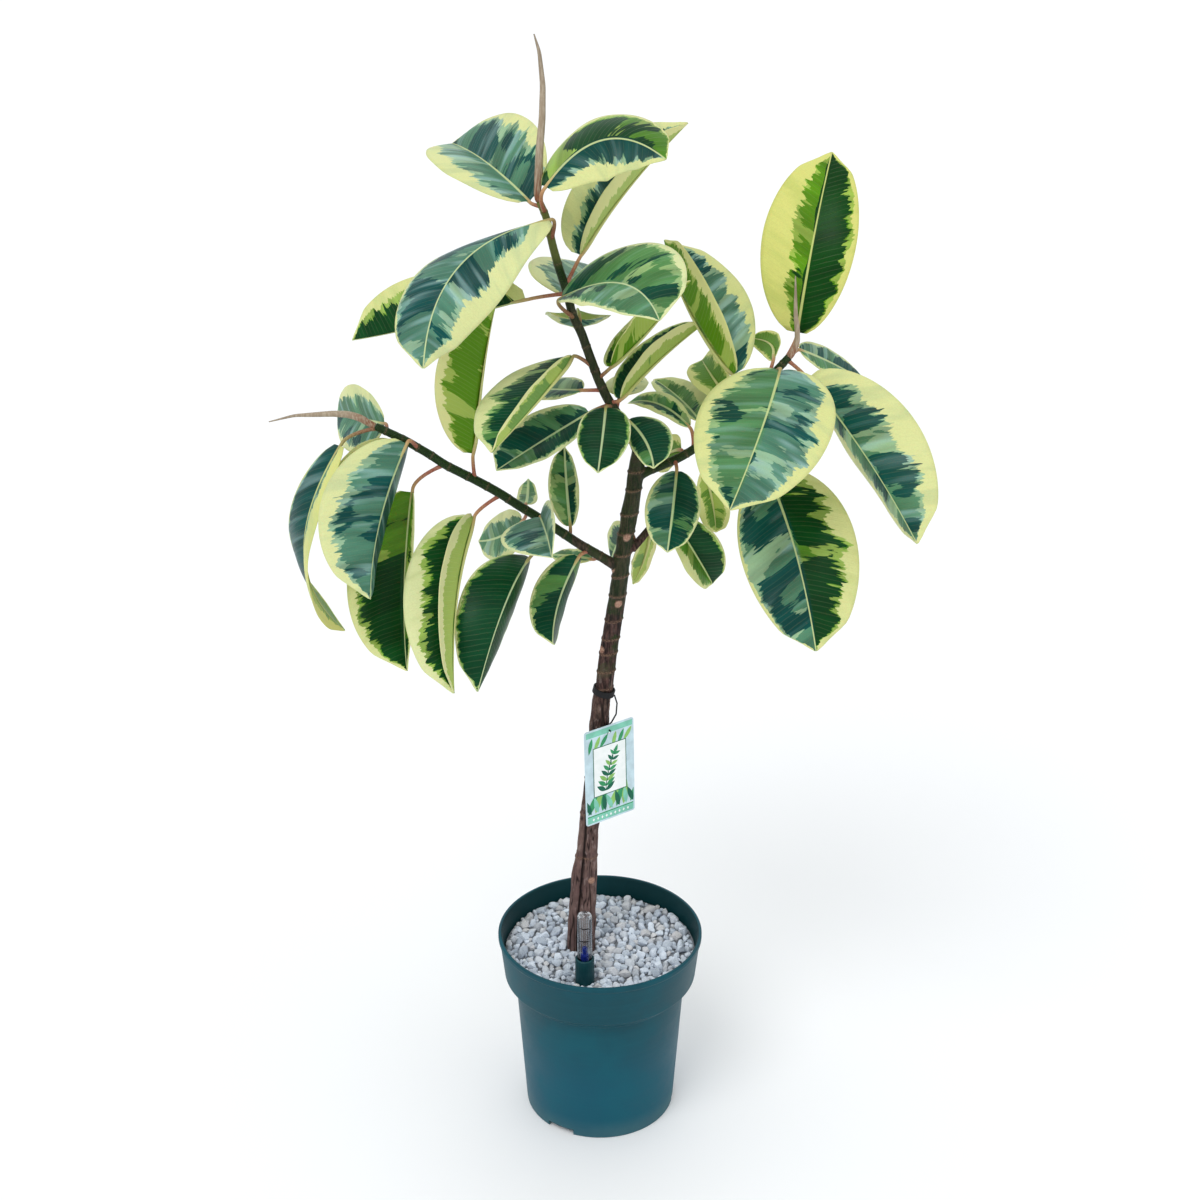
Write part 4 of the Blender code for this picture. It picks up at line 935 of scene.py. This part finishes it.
def greenness(spots, limbs, on_trunk):
    """How young and green the wood is, 0 to 1."""
    start, length, most = TRUNK_GREEN
    trunk = np.clip((spots[:, 2] - start) / length, 0.0, most)
    start, length, least = LEADER_GREEN
    leader = least + (1.0 - least) * np.clip((spots[:, 2] - start) / length, 0.0, 1.0)
    left = np.where(spots[:, 0] > LEFT_GREEN[0], LEFT_GREEN[1], LEFT_GREEN[2])
    return np.select([on_trunk, limbs["leader"], limbs["left"], limbs["right"]],
                     [trunk, leader, left, RIGHT_GREEN], default=SIDE_GREEN)


def noise_at(spots, across, up):
    return np.array([noise.noise(Vector((x * across, y * across, z * up))) for x, y, z in spots])


def bark_relief(spots, ring, scar, on_trunk):
    """Each point's push outwards in mm, and its painted shade in a crack or the groove, 0 to 1."""
    cracks, lumps = noise_at(spots, *CRACK_SCALES), noise_at(spots, *LUMP_SCALES)
    split = CRACK_WIDTH - np.minimum(np.abs(cracks), CRACK_WIDTH)
    deeper = 1.0 + np.clip((DEEP_CRACKS[0] - spots[:, 2]) / DEEP_CRACKS[1], 0.0, 1.0)
    levels, places = zip(*GROOVE)
    middle = np.interp(spots[:, 2], levels, places)
    groove = np.exp(-((spots[:, 0] - middle) / GROOVE_WIDTH) ** 2) * on_trunk
    groove *= np.clip((GROOVE[-1][0] - spots[:, 2]) / GROOVE_FADE, 0.0, 1.0)
    bark = (LUMP_HEIGHT * lumps - CRACK_DEPTH * deeper * split * (1.0 - ring)
            - GROOVE_DEPTH * groove)
    push = RING_HEIGHT * ring + SCAR_HEIGHT * scar + np.where(on_trunk, bark, 0.15 * cracks)
    return push, np.maximum(split / CRACK_WIDTH * on_trunk, 1.1 * groove)


def build_stem():
    """The wood as one skin, with node rings, scars and corky relief."""
    stem = stem_skin()
    mesh = stem.data
    spots = np.empty(len(mesh.vertices) * 3, np.float32)
    mesh.vertices.foreach_get("co", spots)
    spots = spots.reshape(-1, 3) / MM
    limbs, centre = nearest_wood(spots)
    on_trunk = limbs["trunk"] | limbs["lobe"] | limbs["foot"]
    out = spots - centre
    out /= np.maximum(np.linalg.norm(out, axis=1), 1e-6)[:, None]
    ring = node_rings(spots, centre, limbs, on_trunk)
    scar = leaf_scars(spots, out, limbs, on_trunk)
    green = greenness(spots, limbs, on_trunk)
    push, crack_shade = bark_relief(spots, ring, scar, on_trunk)
    moved = (spots + out * push[:, None]) * MM
    mesh.vertices.foreach_set("co", moved.astype(np.float32).ravel())
    vector_attribute(mesh, "bark", np.stack([green, ring, scar], axis=1))
    vector_attribute(mesh, "crack", np.outer(crack_shade, (1.0, 0.0, 0.0)))
    finished(stem, "bark", "woody_stem")


def build_sheaths():
    """The three sheaths, each a tube that starts a little beyond its shoot's end."""
    shader = sheath_material()
    for shoot, (name, run) in SHEATHS.items():
        before, end = [Vector(point[:3]) for point in RUNS[shoot][-2:]]
        way = (end - before).normalized()
        seat = [(*(end + way * reach), radius) for reach, radius in SHEATH_SEATS]
        verts, faces = tube_data(seat + run, SHEATH_SIDES, 2.0)
        piece = mesh_object("look_" + name, verts, faces, [shader])
        rings = len(verts) / SHEATH_SIDES
        vector_attribute(piece.data, "stalk", [(k // SHEATH_SIDES / rings, 0.0, 0.0)
                                               for k in range(len(verts))])
        finished(piece, "sheath", name)


def turned(name, profile, shader):
    """A shape turned about the vertical axis from a profile of (radius, z) in mm."""
    bm = bmesh.new()
    ring = [bm.verts.new((radius * MM, 0.0, z * MM)) for radius, z in profile]
    edges = [bm.edges.new(pair) for pair in zip(ring, ring[1:])]
    bmesh.ops.spin(bm, geom=ring + edges, cent=(0, 0, 0), axis=(0, 0, 1),
                   angle=2 * math.pi, steps=POT_STEPS, use_merge=False)
    bmesh.ops.remove_doubles(bm, verts=bm.verts, dist=1e-6)
    bmesh.ops.dissolve_degenerate(bm, edges=bm.edges, dist=1e-7)
    bmesh.ops.recalc_face_normals(bm, faces=bm.faces)
    mesh = bpy.data.meshes.new(name)
    bm.to_mesh(mesh)
    bm.free()
    mesh.materials.append(shader)
    mesh.shade_smooth()
    mesh.set_sharp_from_angle(angle=math.radians(POT_EDGE))
    return add_object(name, mesh)


def rounded(points, radius, steps=4):
    """A profile with its corners rounded."""
    path = [points[0]]
    for before, corner, after in zip(points, points[1:], points[2:]):
        a, b, c = Vector(before), Vector(corner), Vector(after)
        cut = min(radius, (a - b).length * 0.45, (c - b).length * 0.45)
        first, last = b + (a - b).normalized() * cut, b + (c - b).normalized() * cut
        for k in range(steps + 1):
            t = k / steps
            spot = first * (1 - t) ** 2 + b * 2 * t * (1 - t) + last * t * t
            path.append((spot.x, spot.y))
    path.append(points[-1])
    return path


def notch_cutter(angle):
    """A block across the pot's foot, where a drainage notch goes."""
    bpy.ops.mesh.primitive_cube_add(size=1.0)
    cutter = bpy.context.object
    turn = math.radians(angle)
    cutter.scale = [side * MM for side in NOTCH_SIZE]
    cutter.location = (NOTCH_REACH * MM * math.cos(turn), NOTCH_REACH * MM * math.sin(turn), 0.0)
    cutter.rotation_euler = (0.0, 0.0, turn)
    return cutter


def build_pot():
    """The pot's shell, turned finely, with a rolled lip, rounded steps and drainage notches."""
    pot = turned("look_pot", rounded(POT_PROFILE, POT_ROUNDING), pot_material())
    cutters = [notch_cutter(angle) for angle in NOTCH_ANGLES]
    for cutter in cutters:
        modifier = pot.modifiers.new("notch", "BOOLEAN")
        modifier.operation, modifier.object = "DIFFERENCE", cutter
    mesh = apply_modifiers(pot)
    for cutter in cutters:
        bpy.data.objects.remove(cutter, do_unlink=True)
    # The inner wall is marked, and the pot's material paints shade there.
    facing = [vert.normal.dot(Vector((vert.co.x, vert.co.y, 0.0)).normalized())
              for vert in mesh.vertices]
    vector_attribute(mesh, "inside", [(float(value < -0.3), 0.0, 0.0) for value in facing])
    finished(pot, "pot_plastic", "pot")


def stone_shape(seed):
    """A lumpy ball of radius 1 with flats cut on it, as vertices and faces."""
    bm = bmesh.new()
    bmesh.ops.create_icosphere(bm, subdivisions=2, radius=1.0)
    for vert in bm.verts:
        bend = noise.noise(vert.co * 1.1 + Vector((seed * 7.0, 0.0, 0.0)))
        fine = noise.noise(vert.co * 2.6 + Vector((0.0, seed * 5.0, 0.0)))
        vert.co *= 1.0 + 0.26 * bend + 0.16 * fine
    planes = random.Random(seed)
    for _ in range(STONE_FLATS):
        way = Vector((planes.gauss(0, 1), planes.gauss(0, 1), planes.gauss(0, 1))).normalized()
        limit = planes.uniform(0.56, 0.84)
        for vert in bm.verts:
            vert.co -= way * max(0.0, vert.co.dot(way) - limit)
    verts = [vert.co.copy() for vert in bm.verts]
    faces = [tuple(vert.index for vert in face.verts) for face in bm.faces]
    bm.free()
    return verts, faces


def stone_places(draw):
    """Places (x, y, radius) in mm, clear of the wood, the gauge and one another."""
    placed = []
    for tries, least, most in STONE_TRIES:
        for _ in range(tries):
            size = draw.uniform(least, most)
            turn, reach = draw.uniform(0, 2 * math.pi), math.sqrt(draw.random())
            reach *= FILL_RADIUS - size * 0.8
            x, y = reach * math.cos(turn), reach * math.sin(turn)
            if any(math.hypot(x - bx, y - by) < size + radius for bx, by, radius in BLOCKED):
                continue
            if all((x - px) ** 2 + (y - py) ** 2 >= (STONE_SPACING * (size + other)) ** 2
                   for px, py, other in placed):
                placed.append((x, y, size))
    return placed


def build_stones():
    """Loose pumice over the fill, settled on its relief."""
    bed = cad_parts["pumice_fill"].data
    tree = BVHTree.FromPolygons([vert.co for vert in bed.vertices],
                                [poly.vertices for poly in bed.polygons])
    draw = random.Random(STONE_SEED)
    shapes = [stone_shape(k) for k in range(STONE_KINDS)]
    verts, faces, shades = [], [], []
    for x, y, size in stone_places(draw):
        above = Vector((x * MM, y * MM, STONE_DROP))
        hit = tree.ray_cast(above, Vector((0.0, 0.0, -1.0)))[0]
        if hit is None or hit.z < LEAST_FILL:
            continue
        lift = draw.uniform(*STONE_LIFTS) * size
        spin = Quaternion((draw.uniform(-1, 1), draw.uniform(-1, 1), draw.uniform(-1, 1)),
                          draw.uniform(0, 6.3)).normalized()
        scale = Vector([draw.uniform(*span) for span in STONE_STRETCHES])
        shape_verts, shape_faces = draw.choice(shapes)
        shade = draw.random() ** 0.8
        warm = max(0.0, draw.random() - 0.55)
        centre = Vector((x * MM, y * MM, hit.z + lift * MM))
        faces += shifted(shape_faces, len(verts))
        verts += [centre + spin @ (co * scale) * size * MM for co in shape_verts]
        shades += [(shade, warm, 0.0)] * len(shape_verts)
    shader = stone_material("stone", srgb(228, 238, 250), srgb(170, 182, 196))
    piece = mesh_object("pumice_stones", verts, faces, [shader])
    piece.data.set_sharp_from_angle(angle=math.radians(STONE_EDGE))
    vector_attribute(piece.data, "stone", shades)
    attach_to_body(piece, BODY)
    # The fill between the stones takes a darker copy of the stone colours: painted shade in the
    # gaps.
    recolour("pumice_fill",
             stone_material("shaded_stone_bed", srgb(146, 152, 160), srgb(104, 110, 118)))


def recolour(node, shader):
    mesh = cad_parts[node].data
    mesh.materials.clear()
    mesh.materials.append(shader)


def build_gauge():
    """The gauge's colours, and the two level marks on its tube."""
    recolour("gauge_socket", moulded_material("socket_plastic", srgb(8, 58, 64), 0.4))
    recolour("gauge_float", moulded_material("float_plastic", srgb(22, 42, 138), 0.35))
    clear = moulded_material("tube_plastic", srgb(236, 242, 246), 0.05, transmission=1.0)
    recolour("gauge_tube", clear)
    verts, faces = [], []
    for height in MARK_HEIGHTS:
        base = len(verts)
        for angle in MARK_ANGLES:
            turn = math.radians(angle)
            x = GAUGE_PLACE[0] + MARK_RADIUS * math.cos(turn)
            y = GAUGE_PLACE[1] + MARK_RADIUS * math.sin(turn)
            verts += [Vector((x, y, height)) * MM, Vector((x, y, height + MARK_WIDTH)) * MM]
        faces += [(base + k, base + k + 2, base + k + 3, base + k + 1)
                  for k in range(0, 2 * len(MARK_ANGLES) - 2, 2)]
    marks = mesh_object("gauge_marks", verts, faces,
                        [moulded_material("mark_black", srgb(14, 14, 16), 0.5)])
    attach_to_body(marks, BODY)


def oval_leaf(x, y, angle, length, width, steps=14):
    """The outline of a pointed leaf lying at an angle in degrees from a point."""
    turn = math.radians(angle)
    points = []
    for k in range(2 * steps):
        side = 1 if k < steps else -1
        t = k / steps if side > 0 else 2.0 - k / steps
        along, out = length * t, side * width / 2.0 * math.sin(math.pi * t ** 0.85)
        points.append((x + along * math.cos(turn) - out * math.sin(turn),
                       y + along * math.sin(turn) + out * math.cos(turn)))
    return points


def bar(low_x, low_y, high_x, high_y):
    return [(low_x, low_y), (high_x, low_y), (high_x, high_y), (low_x, high_y)]


def leaf_bands():
    """The leaves that stand on the card's lower band and hang from its upper one."""
    shapes = []
    for k in range(7):
        x, fan = -31.0 + 9.8 * k, k % 3
        shapes.append((("leaf", "fresh")[k % 2], oval_leaf(x, -46.0, 62.0 + 9.0 * fan, 30.0, 8.0)))
        shapes.append((("deep", "mint")[k % 2],
                       oval_leaf(x + 4.0, -46.0, 112.0 - 8.0 * fan, 22.0, 6.4)))
    for k in range(6):
        shapes.append((("fresh", "leaf")[k % 2],
                       oval_leaf(31.0 - 11.0 * k, 49.0, 232.0 + 12.0 * (k % 3), 20.0, 5.2)))
    return shapes


def sprig():
    """A curved sprig, its leaves in pairs that shrink towards the tip."""
    shapes = []
    for k in range(8):
        rise = k / 7.0
        x, y = -6.0 + 12.0 * rise ** 1.6, -21.0 + 42.0 * rise
        lean, size = 90.0 - 22.0 * rise, 15.0 - 6.0 * rise
        for side in (56.0, -56.0):
            leaf = oval_leaf(x, y, lean + side, size, size * 0.38)
            shapes.append((("deep", "leaf", "fresh")[k % 3], leaf))
        shapes.append(("deep", bar(x - 0.4, y - 0.4, x + 0.6 + rise, y + 6.4)))
    shapes.append(("leaf", oval_leaf(6.6, 22.0, 66.0, 11.0, 4.4)))
    return shapes


def print_shapes():
    """A generic plant print in mm: a sprig in a framed panel between bands of leaves."""
    shapes = [("mint", bar(-32, -57, 32, -49)), ("leaf", bar(-32, -49, 32, -47.6)),
              ("mint", bar(-32, 50, 32, 57))] + leaf_bands()
    shapes += [("deep", bar(-23, -26, 23, 36)), ("white", bar(-22, -25, 22, 35))] + sprig()
    for k in range(9):
        x = -24.0 + 6.0 * k
        shapes.append(("white", [(x - 1.5, -53), (x, -55), (x + 1.5, -53), (x, -51)]))
    return shapes


def build_tag():
    """The card with its print: thin flat shapes a little off both faces."""
    recolour("hang_tag", moulded_material("card", srgb(186, 208, 216), 0.5))
    recolour("tag_tie", moulded_material("tie_rubber", srgb(20, 20, 22), 0.55))
    inks = {"deep": srgb(18, 96, 72), "leaf": srgb(52, 142, 92), "fresh": srgb(132, 182, 96),
            "mint": srgb(122, 190, 168), "white": srgb(236, 242, 240)}
    names = list(inks)
    pose = (Matrix.Translation(Vector(TAG_CENTRE) * MM)
            @ Matrix.Rotation(math.radians(TAG_YAW), 4, "Z")
            @ Matrix.Rotation(math.radians(TAG_LEAN), 4, "X"))
    verts, faces, kinds = [], [], []
    for face in (-1.0, 1.0):
        for layer, (ink, shape) in enumerate(print_shapes()):
            lift = face * (TAG_THICKNESS / 2.0 + PRINT_GAP + PRINT_LAYER * layer)
            faces.append(tuple(range(len(verts), len(verts) + len(shape))))
            for x, y in shape:
                x = max(-PRINT_REACH, min(PRINT_REACH, x))
                verts.append(pose @ (Vector((x * -face, lift, y)) * MM))
            kinds.append(names.index(ink))
    shaders = [moulded_material("ink_" + name, colour, 0.45) for name, colour in inks.items()]
    piece = mesh_object("tag_print", verts, faces, shaders, smooth=False)
    for polygon, kind in zip(piece.data.polygons, kinds):
        polygon.material_index = kind
    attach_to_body(piece, BODY)


def build_stage():
    """A pale floor, a soft white world and the lamps."""
    floor_shader = Shader("floor")
    floor_shader.set(Base_Color=srgb(246, 246, 246), Roughness=0.9)
    bpy.ops.mesh.primitive_plane_add(size=FLOOR_SIZE)
    floor = bpy.context.object
    floor.name = "floor"
    floor.data.materials.append(floor_shader.material)
    world = bpy.data.worlds.new("studio")
    world.use_nodes = True
    background = world.node_tree.nodes["Background"]
    background.inputs["Color"].default_value = WORLD_COLOUR
    background.inputs["Strength"].default_value = WORLD_STRENGTH
    bpy.context.scene.world = world
    for name, place, angle, power in SUNS:
        light = bpy.data.lights.new(name, "SUN")
        light.angle, light.energy = math.radians(angle), power
        holder = add_object(name, light)
        holder.rotation_euler = (-Vector(place)).to_track_quat("-Z", "Y").to_euler()
    bpy.context.scene.view_settings.view_transform = "Standard"


def build_camera():
    """The camera where the photo was taken from."""
    camera = bpy.data.cameras.new("camera")
    camera.lens, camera.sensor_width = CAMERA_LENS, CAMERA_SENSOR
    holder = add_object("camera", camera)
    holder.location = CAMERA_PLACE
    holder.rotation_euler = (math.radians(90.0 - CAMERA_PITCH), 0.0, 0.0)
    bpy.context.scene.camera = holder


build_camera()
build_stage()
build_pot()
build_stem()
build_sheaths()
build_stones()
build_gauge()
build_tag()
build_leaves()
bpy.context.view_layer.update()
